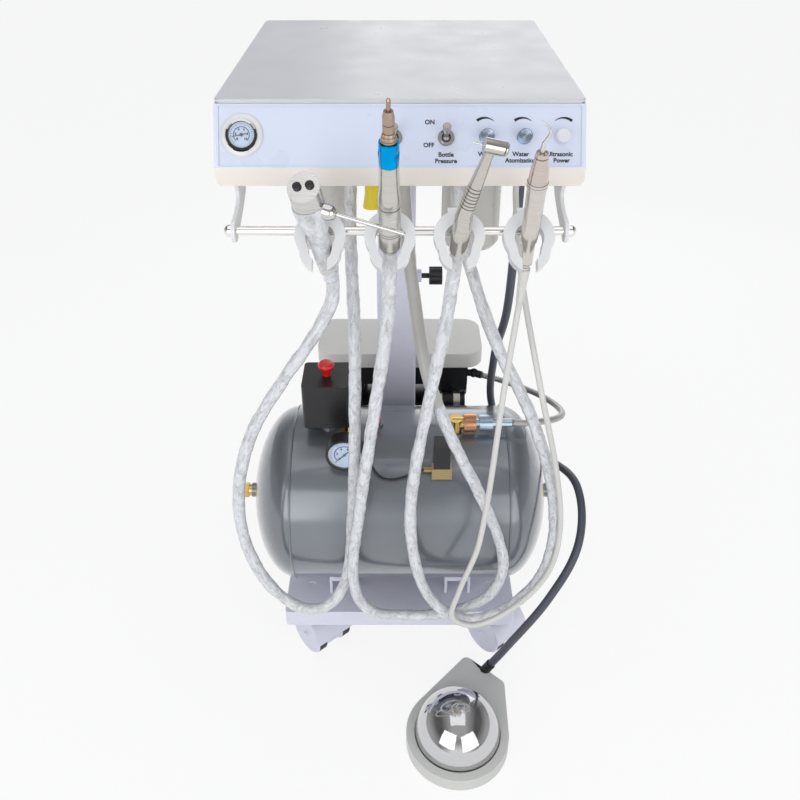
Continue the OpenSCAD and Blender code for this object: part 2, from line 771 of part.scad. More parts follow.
// The working tip screws into the nose and curves to its point
tip_points = [[0, 0, tip_seat + 3.2], [0, 0, tip_seat + 12], [0, 0, tip_seat + 19],
    [3, 0, tip_seat + 25], [5, 0, tip_seat + 30], [4, 0, tip_seat + 35],
    [0, 0, tip_seat + 40], [-5, 0, tip_seat + 44]];
tip_radii = [2.8, 2.8, 1.6, 1.5, 1.4, 1.1, 0.8, 0.5];

module scaler_tip() {
    color("silver") on_instrument(3) {
        for (k = [0:len(tip_points) - 2]) hull() {
            translate(tip_points[k]) sphere(r = tip_radii[k], $fn = 16);
            translate(tip_points[k + 1]) sphere(r = tip_radii[k + 1], $fn = 16);
        }
        translate([0, 0, tip_seat]) cylinder(h = 7, d = 8.6, $fn = 48);
    }
}

// ---- Hoses ----

module hose_syringe() {
    color([0.78, 0.79, 0.8]) tube(syringe_route, hose_d / 2);
}

module hose_lowspeed() {
    color([0.78, 0.79, 0.8]) tube(lowspeed_route, hose_d / 2);
}

module hose_highspeed() {
    color([0.78, 0.79, 0.8]) tube(highspeed_route, hose_d / 2);
}

module cable_scaler() {
    // Tapered strain relief on the handle, then the cable
    color([0.9, 0.9, 0.88]) {
        on_instrument(3) lathe([[0, sleeve_end], [cable_d / 2 + 0.6, sleeve_end],
            [6.4, scaler_tail - 12], [6.4, scaler_tail], [0, scaler_tail]]);
        tube(scaler_route, cable_d / 2);
    }
}

module hose_pedal() {
    color([0.35, 0.36, 0.4]) tube(pedal_route, pedal_hose_d / 2);
}

module hose_braided() {
    color([0.6, 0.6, 0.6]) tube(braided_route, braided_d / 2, [0, 0, 1]);
}

// ---- Column ----

module square_tube(outer, wall, z0, z1) {
    translate([0, 0, z0]) linear_extrude(z1 - z0) difference() {
        round_rect(outer, outer, 4);
        round_rect(outer - 2 * wall, outer - 2 * wall, 3);
    }
}

module column_lower() {
    color([0.86, 0.86, 0.93]) translate([column_x, column_y, 0]) difference() {
        union() {
            square_tube(column_w, column_wall, tray_z, column_split_z);
            translate([0, 0, tray_z]) linear_extrude(base_plate_t) difference() {
                round_rect(column_w + 50, column_w + 6, 3);
                round_rect(column_w - 2 * column_wall, column_w - 2 * column_wall, 3);
            }
            // Boss for the clamp knob
            translate([column_w / 2 + 4, 0, knob_rod_z]) along_x(20, 8.2);
        }
        translate([column_w / 2, 0, knob_rod_z]) along_x(knob_rod_d + 2 * run_fit, 40);
    }
}

module column_upper() {
    color([0.86, 0.86, 0.93]) translate([column_x, column_y, 0]) {
        square_tube(inner_w, column_wall, tray_z + 200, box_z - 4);
        translate([0, 0, box_z - 4]) linear_extrude(4) round_rect(160, 110, 4);
    }
}

module height_knob() {
    x = column_w / 2 - column_wall;
    color([0.1, 0.1, 0.1]) translate([column_x, column_y, knob_rod_z]) {
        translate([x + 12, 0, 0]) along_x(knob_rod_d, 24);
        translate([x + 22, 0, 0]) difference() {
            translate([10, 0, 0]) along_x(28, 20);
            for (a = [0:60:300]) rotate([a, 0, 0]) translate([10, 0, 17]) along_x(10, 24);
        }
    }
}

// ---- Cart ----

module caster_boss_at(k) {
    translate([caster_at[k][0] * (tray_w / 2 - caster_in_x),
        caster_at[k][1] == 0 ? caster_in_y : tray_d - caster_in_y, 0]) children();
}

module base_tray() {
    boss_h = 8;
    color([0.87, 0.87, 0.94]) difference() {
        union() {
            translate([0, tray_d / 2, tray_z - tray_edge]) linear_extrude(tray_edge)
                round_rect(tray_w, tray_d, 5);
            // Saddles that the tank is bolted to
            for (x = [-1, 1]) translate([x * 90 - 20, tank_y - 62, tray_z - 1])
                cube([40, 124, tank_rise - tank_r + 46]);
        }
        // Underside, leaving the sheet and four caster bosses
        difference() {
            translate([0, tray_d / 2, tray_z - tray_edge - 1]) linear_extrude(tray_edge + 1 - tray_t)
                round_rect(tray_w - 2 * tray_t, tray_d - 2 * tray_t, 4);
            for (k = [0:3]) caster_boss_at(k) translate([0, 0, tray_z - boss_h])
                cylinder(h = boss_h, d = 34, $fn = 96);
        }
        for (k = [0:3]) caster_boss_at(k) translate([0, 0, tray_z - tray_edge - 2])
            cylinder(h = tray_edge + 4, d = stem_d + 2 * run_fit, $fn = 96);
        // The tank lies in the saddles
        translate([0, tank_y, tank_z]) along_x(tank_d + 0.4, 400);
        for (x = [-1, 1]) translate([x * 90 - 16, tank_y - 70, tray_z]) cube([32, 140, 26]);
    }
}

module tank_outline(r, half, head, steps = 12) {
    polygon(concat([[0, -half - head]],
        [for (k = [1:steps]) [r * sin(90 * k / steps), -half - head * cos(90 * k / steps)]],
        [for (k = [steps:-1:1]) [r * sin(90 * k / steps), half + head * cos(90 * k / steps)]],
        [[0, half + head]]));
}

module air_tank() {
    color([0.49, 0.52, 0.55]) translate([0, tank_y, tank_z]) difference() {
        union() {
            rotate([0, 90, 0]) rotate_extrude($fn = 128) tank_outline(tank_r, tank_half, tank_head);
            for (s = [-1, 1]) translate([s * (tank_l / 2 + 1), 0, 0]) along_x(22, 14);
            // Sockets on the top for the check valve, the switch and the safety valve
            for (p = socket_at) translate([p[0], p[1] - tank_y, socket_foot(p)])
                cylinder(h = socket_top(p) - tank_z - socket_foot(p), d = 24, $fn = 64);
        }
        rotate([0, 90, 0]) rotate_extrude($fn = 128)
            tank_outline(tank_r - tank_wall, tank_half, tank_head - tank_wall);
        along_x(port_d, tank_l + 60);
        for (p = socket_at) translate([p[0], p[1] - tank_y, 60])
            cylinder(h = tank_r, d = port_d, $fn = 64);
        translate([solenoid_at[0], -tank_r / 2, solenoid_at[2] - tank_z]) along_y(port_d, 60);
    }
}

socket_at = [check_at, switch_at, [-36, 96]];
function tank_top(y) = tank_z + sqrt(tank_r * tank_r - pow(y - tank_y, 2));
function socket_foot(p) = tank_top(p[1]) - tank_z - 8;
function socket_top(p) = tank_z + tank_r + 4;

module tank_fittings() {
    z0 = socket_top(check_at);
    // Drain plug and blank plug in the ends
    color([0.85, 0.68, 0.25]) for (s = [-1, 1])
        translate([s * (tank_l / 2 + 8), tank_y, tank_z]) rotate([0, s * 90, 0]) {
            translate([0, 0, -12]) cylinder(h = 14, d = port_d - 0.2, $fn = 64);
            cylinder(h = 5, d = 18, $fn = 64);
            translate([0, 0, 5]) cylinder(h = plug_len - 13, d = 24, $fn = 6);
        }
    // Check valve, union nut and hose ferrule in a line
    color([0.85, 0.68, 0.25]) translate([check_at[0], check_at[1], 0]) {
        translate([0, 0, z0 - 6]) cylinder(h = 10, d = port_d - 0.2, $fn = 64);
        translate([0, 0, z0]) cylinder(h = check_z - z0, d = 18, $fn = 64);
        translate([0, 0, check_z - 8]) cylinder(h = 16, d = 20, $fn = 64);
        translate([5, 0, check_z]) along_x(17, 20);
        translate([20, 0, check_z]) along_x(27, 17);
        translate([32, 0, check_z]) along_x(12, 10);
    }
    color([0.7, 0.78, 0.85]) translate([check_at[0], check_at[1], check_z]) {
        translate([43, 0, 0]) along_x(24, 19);
        translate([ferrule_mid, 0, 0]) along_x(13, ferrule_end[0] - check_at[0] - 52);
    }
    // Safety valve with its pull ring
    color([0.8, 0.3, 0.15]) translate([-36, 96, z0]) {
        translate([0, 0, -6]) cylinder(h = 7, d = port_d - 0.2, $fn = 64);
        lathe([[0, 0], [8, 0], [8, 8], [6, 9], [6, 22], [7.5, 23], [7.5, 30], [2, 31], [2, 36],
            [0, 36]]);
        translate([0, 0, 40]) rotate([90, 0, 0]) rotate_extrude($fn = 64)
            translate([7, 0]) circle(d = 2.4, $fn = 16);
    }
    // Nipple, cross and gauge branch under the pressure switch
    color([0.85, 0.68, 0.25]) translate([switch_at[0], switch_at[1], 0]) {
        translate([0, 0, z0 - 6]) cylinder(h = 10, d = port_d - 0.2, $fn = 64);
        translate([0, 0, z0]) cylinder(h = switch_z - z0, d = 18, $fn = 64);
    }
    color([0.85, 0.68, 0.25]) {
        x = gauge2_at[0];
        y0 = gauge2_at[1] + 26;
        z = gauge2_at[2];
        translate([(switch_at[0] + x) / 2, switch_at[1], z - 3]) along_x(10, x - switch_at[0] + 10);
        translate([x, (y0 + switch_at[1]) / 2, z - 3]) along_y(10, switch_at[1] - y0);
    }
}

ferrule_mid = (52 + ferrule_end[0] - check_at[0]) / 2;

module pressure_switch() {
    color([0.09, 0.09, 0.09]) difference() {
        union() {
            translate([switch_at[0], switch_at[1], switch_z + 8]) linear_extrude(switch_h - 8)
                round_rect(switch_w, switch_d, 6);
            translate([switch_at[0], switch_at[1], switch_z]) linear_extrude(8)
                round_rect(switch_w - 1, switch_d - 1, 5);
            // Cable glands under the left and right ends
            for (y = [-14, 14]) translate([switch_at[0] - 22, switch_at[1] + y, switch_z - 10])
                cylinder(h = 11, d = 17, $fn = 48);
        }
        translate([switch_at[0], switch_at[1], switch_z + 10])
            cylinder(h = switch_h, d = 12 + 2 * run_fit, $fn = 64);
    }
}

module pressure_knob() {
    z = switch_z + switch_h;
    color([0.9, 0.05, 0.05]) translate([switch_at[0], switch_at[1], z]) {
        lathe([[0, -30], [6, -30], [6, 7], [8.5, 8], [11.5, 14], [11.5, 17.5], [9, 20.5],
            [0, 21.5]]);
    }
}

module tank_gauge() {
    // Black case with a rim that stands out in front of the dial
    color([0.08, 0.08, 0.09]) translate(gauge2_at) rotate([-90, 0, 0]) difference() {
        union() {
            cylinder(h = 22, d = gauge2_d, $fn = 96);
            translate([0, 3, 21]) cylinder(h = 5, d = 14, $fn = 48);
        }
        translate([0, 0, -1]) cylinder(h = 5, d = gauge2_d - 6, $fn = 96);
        cylinder(h = 8, d = 2 + 2 * run_fit, $fn = 48);
    }
}

module tank_gauge_needle() {
    color([0.06, 0.06, 0.1]) translate(gauge2_at) rotate([90, 0, 0]) {
        translate([0, 0, -3.2]) rotate([0, 0, 225]) needle(gauge2_d / 2 - 7, 7, 0.9, 0.5);
        translate([0, 0, -7.5]) cylinder(h = 5, d = 2, $fn = 48);
    }
}

module solenoid_valve() {
    // Brass body, black coil, and the thin line from the pressure switch
    p = solenoid_at;
    color([0.75, 0.62, 0.35]) {
        translate([p[0] - 14, p[1], p[2] - 9]) cube([28, 14, 18]);
        translate([p[0], p[1] + 25, p[2]]) along_y(port_d - 0.2, 30);
        translate([p[0] - 19, p[1] + 10, p[2]]) along_x(7, 12);
    }
    color([0.1, 0.1, 0.1]) translate([p[0] - 11, p[1], p[2] + 9]) cube([22, 26, 38]);
    color([0.05, 0.05, 0.05]) tube(unloader_line, 1.75, [0, 1, 0], 8);
}

unloader_low = solenoid_at + [-73, 0, -9];
unloader_line = concat(
    [for (k = [0:9]) bez(solenoid_at + [-24, 10, 0], solenoid_at + [-43, 3, 0],
        unloader_low + [20, 0, 0], unloader_low, k / 10)],
    [for (k = [0:10]) bez(unloader_low, unloader_low - [30, 0, 0],
        [-45, 45, solenoid_at[2] + 25], [-70, 60, switch_z + 4], k / 10)]);

module rod_between(a, b, d) {
    v = b - a;
    translate(a) rotate([0, acos(v[2] / norm(v)), atan2(v[1], v[0])])
        cylinder(h = norm(v), d = d, $fn = 48);
}

// ---- Compressor ----

module compressor_pump() {
    w = 230;
    color([0.07, 0.07, 0.07]) translate([0, pump_y, 0]) difference() {
        union() {
            translate([0, 0, pump_shaft_z]) along_x(pump_motor_d, w - 70);
            // Crankcases with their cylinders and heads
            for (s = [-1, 1]) translate([s * (w / 2 - 26), 0, 0]) {
                translate([0, 0, pump_shaft_z]) along_x(98, 44);
                translate([0, 0, pump_shaft_z + 30]) cylinder(h = 92, d = 46, $fn = 64);
                for (k = [0:5]) translate([0, 0, pump_shaft_z + 52 + k * 7])
                    cylinder(h = 3, d = 62, $fn = 64);
                translate([-27, -44, pump_shaft_z + 84]) cube([54, 88, 38]);
            }
            // Cross plate and mounting feet
            translate([-w / 2, -hood_d / 2 + 1, hood_z - 34]) cube([w, hood_d - 2, 33.7]);
            translate([-w / 2 + 20, -46, tray_z + 14]) cube([w - 40, 92, 4]);
            for (x = [-1, 1]) translate([x * 60 - 8, -30, tray_z + 14]) cube([16, 60, 60]);
        }
        translate([0, 0, pump_shaft_z]) along_x(10 + 2 * run_fit, w + 40);
        for (s = [-1, 1]) translate([s * (w / 2 - 4), 0, pump_shaft_z]) along_x(86, 24);
    }
    // Rubber feet
    color([0.05, 0.05, 0.05]) for (x = [-1, 1], y = [-1, 1])
        translate([x * 84, pump_y + y * 36, tray_z]) cylinder(h = 14, d = 26, $fn = 48);
    // Outlet elbow for the braided hose
    color([0.8, 0.7, 0.4]) {
        rod_between(elbow_end, elbow_end + 14 * elbow_dir, 13);
        translate(elbow_end + 14 * elbow_dir) sphere(d = 16, $fn = 48);
        rod_between(elbow_end + 14 * elbow_dir, [108, elbow_end[1] + 8, elbow_end[2]], 12);
    }
}

module compressor_hood() {
    color([0.86, 0.84, 0.79]) translate([0, pump_y, hood_z]) difference() {
        linear_extrude(hood_h) round_rect(hood_w, hood_d, hood_corner_r);
        translate([0, 0, -1]) linear_extrude(hood_h + 1 - hood_wall)
            round_rect(hood_w - 2 * hood_wall, hood_d - 2 * hood_wall, hood_corner_r - hood_wall);
    }
}

module compressor_fan() {
    w = 230;
    color([0.25, 0.25, 0.27]) translate([0, pump_y, pump_shaft_z]) {
        along_x(10, w - 4);
        for (s = [-1, 1]) translate([s * (w / 2 - 4), 0, 0]) {
            along_x(26, 12);
            for (a = [0:45:315]) rotate([a, 0, 0])
                translate([-5, 10, -1.2]) cube([10, fan_d / 2 - 10, 2.4]);
        }
    }
}

module start_capacitor() {
    p = [82, column_y + column_w / 2 - 10, hood_z - 56];
    color([0.12, 0.12, 0.12]) translate(p) along_x(30, 56);
    color([0.5, 0.5, 0.52]) for (x = [-16, 14]) translate(p + [x, 0, 0]) difference() {
        union() {
            along_x(36, 11);
            translate([-5.5, 0, -8]) cube([11, pump_y - 44 - p[1], 16]);
        }
        along_x(30, 12);
    }
}

// ---- Casters ----

module at_caster(k) {
    caster_boss_at(k) rotate([0, 0, caster_yaw[k]]) children();
}

module caster_fork(k) {
    axle_z = wheel_d / 2;
    under = tray_z - 8 - body_gap;
    color([0.9, 0.9, 0.95]) at_caster(k) {
        translate([0, 0, under - 32]) cylinder(h = 32, d = 24, $fn = 64);
        translate([0, 0, under - 1]) cylinder(h = 8 + body_gap, d = stem_d, $fn = 96);
        translate([0, -caster_trail, axle_z]) {
            along_x(2 * (wheel_d / 2 - 3), fork_w);
            along_x(axle_d, fork_w + 2 * wheel_w + 6);
            // Hood over the top and back of both wheels, on a web between them
            rotate([90, 0, 90]) rotate([0, 0, 60]) {
                translate([0, 0, -fork_w / 2 - wheel_w]) rotate_extrude(angle = 115, $fn = 96)
                    translate([wheel_d / 2 + 1, 0]) square([2, fork_w + 2 * wheel_w]);
                translate([0, 0, -fork_w / 2]) rotate_extrude(angle = 115, $fn = 96)
                    translate([wheel_d / 2 - 6, 0]) square([8, fork_w]);
            }
        }
    }
}

module caster_wheels(k) {
    color([0.08, 0.08, 0.08]) at_caster(k) translate([0, -caster_trail, wheel_d / 2])
        for (s = [-1, 1]) translate([s * (fork_w / 2 + wheel_w / 2 + body_gap / 2), 0, 0]) difference() {
            rotate([0, 90, 0]) rotate_extrude($fn = 96)
                polygon([[axle_d / 2 + run_fit, -wheel_w / 2 + body_gap],
                    [wheel_d / 2 - 2, -wheel_w / 2 + body_gap], [wheel_d / 2, -wheel_w / 2 + 3],
                    [wheel_d / 2, wheel_w / 2 - 3], [wheel_d / 2 - 2, wheel_w / 2 - body_gap],
                    [axle_d / 2 + run_fit, wheel_w / 2 - body_gap]]);
        }
}

module caster_fork_1() { caster_fork(0); }
module caster_fork_2() { caster_fork(1); }
module caster_fork_3() { caster_fork(2); }
module caster_fork_4() { caster_fork(3); }
module caster_wheels_1() { caster_wheels(0); }
module caster_wheels_2() { caster_wheels(1); }
module caster_wheels_3() { caster_wheels(2); }
module caster_wheels_4() { caster_wheels(3); }

// ---- Bottles under the box ----

bottle_at_xy = [[-97, 125], [92, 125]];

module bottles() {
    color([0.85, 0.83, 0.78]) for (p = bottle_at_xy) translate([p[0], p[1], box_z]) difference() {
        lathe([[0, -138], [34, -138], [38, -132], [38, -42], [34, -32], [19, -24], [19, 0], [0, 0]]);
        lathe([[0, -136], [33, -136], [36.4, -131], [36.4, -43], [33, -34], [14, -26], [14, 1], [0, 1]]);
    }
    color([0.95, 0.85, 0.1]) translate([-33, 40, box_z]) lathe([[0, -54], [11, -54],
        [8.5, -36], [8.5, 0], [0, 0]]);
}

// ---- Foot pedal ----

// Round base drawn out to a tip and a shoulder behind it: centre and radius of each corner
pedal_corners = [[[0, 0], pedal_d / 2], [[64, 76], 12], [[21, 117], 9]];
function side_angle(a, b) = atan2(b[0][1] - a[0][1], b[0][0] - a[0][0])
    - acos((a[1] - b[1]) / norm(b[0] - a[0]));
function corner_angles(k) = let (n = len(pedal_corners),
    before = side_angle(pedal_corners[(k + n - 1) % n], pedal_corners[k]),
    after = side_angle(pedal_corners[k], pedal_corners[(k + 1) % n]))
    [before, after < before ? after + 360 : after];
function corner_arc(k, steps) = let (c = pedal_corners[k], a = corner_angles(k))
    [for (i = [0:steps]) let (t = a[0] + (a[1] - a[0]) * i / steps)
        c[0] + c[1] * [cos(t), sin(t)]];

module pedal_base() {
    well_d = dome_d + 2;
    gland_dir = unit(pedal_gland - pedal_route[len(pedal_route) - 2]);
    color([0.85, 0.85, 0.82]) difference() {
        translate([pedal_x, pedal_y, 0]) linear_extrude(pedal_base_h)
            polygon(concat(corner_arc(0, 48), corner_arc(1, 6), corner_arc(2, 8)));
        translate([pedal_x, pedal_y, well_z]) cylinder(h = 40, d = well_d, $fn = 128);
        translate([pedal_x, pedal_y, 2]) cylinder(h = 40, d = cap_stem_d + 2 * run_fit, $fn = 64);
    }
    // Hose gland in the shoulder
    color([0.1, 0.1, 0.1]) rod_between(pedal_gland + 26 * gland_dir, pedal_gland, 15);
}

module pedal_cap() {
    centre_z = cap_rim_z + dome_h - cap_r;
    color("silver") translate([pedal_x, pedal_y, 0]) {
        difference() {
            intersection() {
                translate([0, 0, centre_z]) sphere(r = cap_r, $fn = 128);
                translate([0, 0, cap_rim_z]) cylinder(h = dome_h + 1, d = dome_d + 10, $fn = 128);
            }
            translate([0, 0, centre_z]) sphere(r = cap_r - cap_wall, $fn = 128);
        }
        translate([0, 0, pedal_travel + 3]) cylinder(h = cap_rim_z + dome_h - cap_wall - pedal_travel - 2,
            d = cap_stem_d, $fn = 64);
    }
}

placed() base_tray();
placed() air_tank();
placed() compressor_pump();
placed() compressor_hood();
placed() compressor_fan();
placed() start_capacitor();
placed() column_lower();
placed() column_upper();
placed() height_knob();
placed() box_shell();
placed() box_lid();
placed() front_panel();
placed() panel_gauge();
placed() gauge_needle();
placed() toggle_bushes();
placed() bottle_lever();
placed() power_lever();
placed() knob_water();
placed() knob_atomization();
placed() knob_ultrasonic();
placed() rod_brackets();
placed() holder_rod();
placed() instrument_holders();
placed() syringe_body();
placed() syringe_nozzle();
placed() syringe_air_button();
placed() syringe_water_button();
placed() lowspeed_motor();
placed() lowspeed_nose();
placed() lowspeed_lock_ring();
placed() lowspeed_bur();
placed() highspeed_body();
placed() highspeed_button();
placed() highspeed_bur();
placed() scaler_body();
placed() scaler_tip();
placed() hose_syringe();
placed() hose_lowspeed();
placed() hose_highspeed();
placed() cable_scaler();
placed() hose_pedal();
placed() hose_braided();
placed() tank_fittings();
placed() pressure_switch();
placed() pressure_knob();
placed() tank_gauge();
placed() tank_gauge_needle();
placed() solenoid_valve();
placed() pedal_base();
placed() pedal_cap();
placed() caster_fork_1();
placed() caster_fork_2();
placed() caster_fork_3();
placed() caster_fork_4();
placed() caster_wheels_1();
placed() caster_wheels_2();
placed() caster_wheels_3();
placed() caster_wheels_4();
placed() bottles();
placed() valve_manifold();
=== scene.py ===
import json
import math
import bpy
import bmesh
from mathutils import Matrix, Vector, noise


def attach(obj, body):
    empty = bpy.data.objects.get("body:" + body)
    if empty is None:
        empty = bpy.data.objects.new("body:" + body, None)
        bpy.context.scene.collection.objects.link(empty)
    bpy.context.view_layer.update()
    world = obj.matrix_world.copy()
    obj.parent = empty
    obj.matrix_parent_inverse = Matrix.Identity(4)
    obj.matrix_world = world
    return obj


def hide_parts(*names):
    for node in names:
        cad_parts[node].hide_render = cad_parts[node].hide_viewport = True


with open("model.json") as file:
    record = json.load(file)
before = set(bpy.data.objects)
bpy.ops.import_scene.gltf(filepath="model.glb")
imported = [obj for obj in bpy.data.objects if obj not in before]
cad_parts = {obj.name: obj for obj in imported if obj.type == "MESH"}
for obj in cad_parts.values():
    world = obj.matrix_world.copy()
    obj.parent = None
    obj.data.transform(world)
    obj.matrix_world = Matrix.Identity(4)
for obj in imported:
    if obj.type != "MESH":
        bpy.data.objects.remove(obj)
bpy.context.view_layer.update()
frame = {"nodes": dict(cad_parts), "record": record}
nodes = frame["nodes"]
scene = bpy.context.scene
rearShift = -0.106  # from the cart's own zero, at the lid's front edge, to the frame's


def place(x, y, z):  # cart millimetres to frame metres
    return Vector((x / 1000, y / 1000 + rearShift, z / 1000))


# ---- camera, at the photograph's angle

cameraLook = {"eye": (0, -902.5, 1155.8), "down": 30.4, "lens": 38.25, "shiftY": -0.10}
cameraData = bpy.data.cameras.new("photoCamera")
cameraData.lens = cameraLook["lens"]
cameraData.sensor_width = 36
cameraData.shift_y = cameraLook["shiftY"]
camera = bpy.data.objects.new("photoCamera", cameraData)
camera.location = place(*cameraLook["eye"])
camera.rotation_euler = (math.radians(90 - cameraLook["down"]), 0, 0)
scene.collection.objects.link(camera)
scene.camera = camera

# ---- places that finishes and pieces share

holderMid = {"x": -84, "pitch": 73.3, "y": -86, "z": 772, "lean": 18, "side": (-9, 0, 5, 0)}


def onAxis(index, along):
    side = math.radians(holderMid["side"][index])
    lean = math.radians(holderMid["lean"])
    step = Vector((math.sin(side), -math.sin(lean) * math.cos(side), math.cos(lean) * math.cos(side)))
    middle = Vector((holderMid["x"] + index * holderMid["pitch"], holderMid["y"], holderMid["z"]))
    return tuple(middle + along * step)


def axisTurn(index):  # columns are an instrument's own x, y and z
    side = math.radians(holderMid["side"][index])
    lean = math.radians(holderMid["lean"])
    return Matrix.Rotation(lean, 3, "X") @ Matrix.Rotation(side, 3, "Y")


def axisStart(index):
    return place(*onAxis(index, 0))


turbineNeck = {"bend": 9, "starts": 0.040}
neckTurn = axisTurn(2) @ Matrix.Rotation(math.radians(turbineNeck["bend"]), 3, "Y")
neckStart = axisStart(2) + axisTurn(2) @ Vector((0, 0, turbineNeck["starts"]))
panelFace = {"out": 31, "rise": 61, "middle": (0, -15.5, 864.5), "inset": 1.6}
panelLean = math.atan(panelFace["out"] / panelFace["rise"])
panelTurn = Matrix.Rotation(math.pi / 2 - panelLean, 4, "X")


def onPanel(x, y, out):  # matrix of a spot on the sloping panel; out is measured from its outer face
    return Matrix.Translation(place(*panelFace["middle"])) @ panelTurn @ Matrix.Translation(
        Vector((x, y, out - panelFace["inset"])) / 1000)


# ---- material helpers


def newMaterial(name):
    material = bpy.data.materials.new(name)
    material.use_nodes = True
    return material, material.node_tree, material.node_tree.nodes["Principled BSDF"]


def addNode(tree, kind, **settings):
    made = tree.nodes.new(kind)
    for key, value in settings.items():
        setattr(made, key, value)
    return made


def objectNoise(tree, scale, detail=3.0, stretch=(1, 1, 1), rough=0.5):
    coord = addNode(tree, "ShaderNodeTexCoord")
    mapping = addNode(tree, "ShaderNodeMapping")
    mapping.inputs["Scale"].default_value = stretch
    tex = addNode(tree, "ShaderNodeTexNoise")
    tex.inputs["Scale"].default_value = scale
    tex.inputs["Detail"].default_value = detail
    tex.inputs["Roughness"].default_value = rough
    tree.links.new(coord.outputs["Object"], mapping.inputs["Vector"])
    tree.links.new(mapping.outputs["Vector"], tex.inputs["Vector"])
    return tex


def rampBetween(tree, source, stops):
    ramp = addNode(tree, "ShaderNodeValToRGB")
    while len(ramp.color_ramp.elements) < len(stops):
        ramp.color_ramp.elements.new(0.5)
    for element, (at, colour) in zip(ramp.color_ramp.elements, stops):
        element.position = at
        element.color = (*colour, 1)
    tree.links.new(source, ramp.inputs["Fac"])
    return ramp


def bumpFrom(tree, shader, source, strength, distance):
    bump = addNode(tree, "ShaderNodeBump")
    bump.inputs["Strength"].default_value = strength
    bump.inputs["Distance"].default_value = distance
    tree.links.new(source, bump.inputs["Height"])
    tree.links.new(bump.outputs["Normal"], shader.inputs["Normal"])


def tint(colour, amount):
    return tuple(max(0, min(1, c * amount)) for c in colour)


def coated(name, colour, rough=0.35, grain=900, bump=0.08, vary=0.05, coat=0.0, metal=0.0):
    material, tree, shader = newMaterial(name)
    broad = objectNoise(tree, 6, 4)
    ramp = rampBetween(tree, broad.outputs["Fac"],
                       [(0.3, tint(colour, 1 - vary)), (0.7, tint(colour, 1 + vary * 0.4))])
    tree.links.new(ramp.outputs["Color"], shader.inputs["Base Color"])
    shader.inputs["Metallic"].default_value = metal
    smudge = objectNoise(tree, 22, 5)
    roughRamp = rampBetween(tree, smudge.outputs["Fac"],
                            [(0.3, (rough * 0.85,) * 3), (0.75, (rough * 1.2,) * 3)])
    tree.links.new(roughRamp.outputs["Color"], shader.inputs["Roughness"])
    shader.inputs["Coat Weight"].default_value = coat
    shader.inputs["Coat Roughness"].default_value = 0.12
    peel = objectNoise(tree, grain, 2)
    bumpFrom(tree, shader, peel.outputs["Fac"], bump, 0.0004)
    return material


def brushed(name, colour, rough=0.28, stretch=(1, 1, 40), vary=0.12):
    material, tree, shader = newMaterial(name)
    streak = objectNoise(tree, 60, 6, stretch)
    ramp = rampBetween(tree, streak.outputs["Fac"],
                       [(0.3, tint(colour, 1 - vary)), (0.7, tint(colour, 1 + vary))])
    tree.links.new(ramp.outputs["Color"], shader.inputs["Base Color"])
    shader.inputs["Metallic"].default_value = 1
    roughRamp = rampBetween(tree, streak.outputs["Fac"],
                            [(0.25, (rough * 0.7,) * 3), (0.75, (rough * 1.3,) * 3)])
    tree.links.new(roughRamp.outputs["Color"], shader.inputs["Roughness"])
    bumpFrom(tree, shader, streak.outputs["Fac"], 0.05, 0.0002)
    return material


def onOwnAxis(tree, centre, turn):  # object coordinates turned so that z runs along a piece's own axis
    coord = addNode(tree, "ShaderNodeTexCoord")
    mapping = addNode(tree, "ShaderNodeMapping")
    back = turn.to_3x3().inverted()
    mapping.inputs["Rotation"].default_value = back.to_euler()
    mapping.inputs["Location"].default_value = -(back @ centre)
    tree.links.new(coord.outputs["Object"], mapping.inputs["Vector"])
    return mapping.outputs["Vector"]


def mathNode(tree, operation, first, second=None):
    made = addNode(tree, "ShaderNodeMath", operation=operation)
    for socket, value in zip(made.inputs, (first, second)):
        if isinstance(value, (int, float)):
            socket.default_value = value
        elif value is not None:
            tree.links.new(value, socket)
    return made.outputs[0]


def filmWrap(name, colour):
    # hose seen through crinkled clear film: soft streaks over silver grey, and thin white lines along the
    # creases as painted highlights
    material, tree, shader = newMaterial(name)
    uv = addNode(tree, "ShaderNodeUVMap", uv_map="run")
    stretch = addNode(tree, "ShaderNodeMapping")
    stretch.inputs["Scale"].default_value = (7, 55, 1)
    tree.links.new(uv.outputs["UV"], stretch.inputs["Vector"])
    streak = addNode(tree, "ShaderNodeTexNoise")
    streak.inputs["Scale"].default_value = 1
    streak.inputs["Detail"].default_value = 4
    streak.inputs["Distortion"].default_value = 1.5
    tree.links.new(stretch.outputs["Vector"], streak.inputs["Vector"])
    base = rampBetween(tree, streak.outputs["Fac"],
                       [(0.3, tint(colour, 0.68)), (0.5, colour), (0.72, tint(colour, 1.25))])
    folds = objectNoise(tree, 170, 3, rough=0.5)
    folds.inputs["Distortion"].default_value = 1.4
    away = mathNode(tree, "ABSOLUTE", mathNode(tree, "SUBTRACT", folds.outputs["Fac"], 0.5))
    # painted highlight: near-white lines where the fold noise crosses its middle, standing for glints on the
    # film's creases; the same lines also raise the bump
    creaseGlint = rampBetween(tree, away, [(0.0, (1, 1, 1)), (0.008, (0.7,) * 3), (0.02, (0, 0, 0))])
    mix = addNode(tree, "ShaderNodeMixRGB", blend_type="MIX")
    tree.links.new(mathNode(tree, "MULTIPLY", creaseGlint.outputs["Color"], 0.8), mix.inputs["Fac"])
    tree.links.new(base.outputs["Color"], mix.inputs["Color1"])
    mix.inputs["Color2"].default_value = (0.95, 0.96, 0.97, 1)
    tree.links.new(mix.outputs["Color"], shader.inputs["Base Color"])
    shader.inputs["Roughness"].default_value = 0.24
    shader.inputs["Coat Weight"].default_value = 0.7
    shader.inputs["Coat Roughness"].default_value = 0.1
    raised = mathNode(tree, "MULTIPLY", creaseGlint.outputs["Color"], 0.25)
    height = mathNode(tree, "ADD", folds.outputs["Fac"], raised)
    bumpFrom(tree, shader, height, 0.55, 0.002)
    return material


wires = {"round": 8, "slant": 1500}


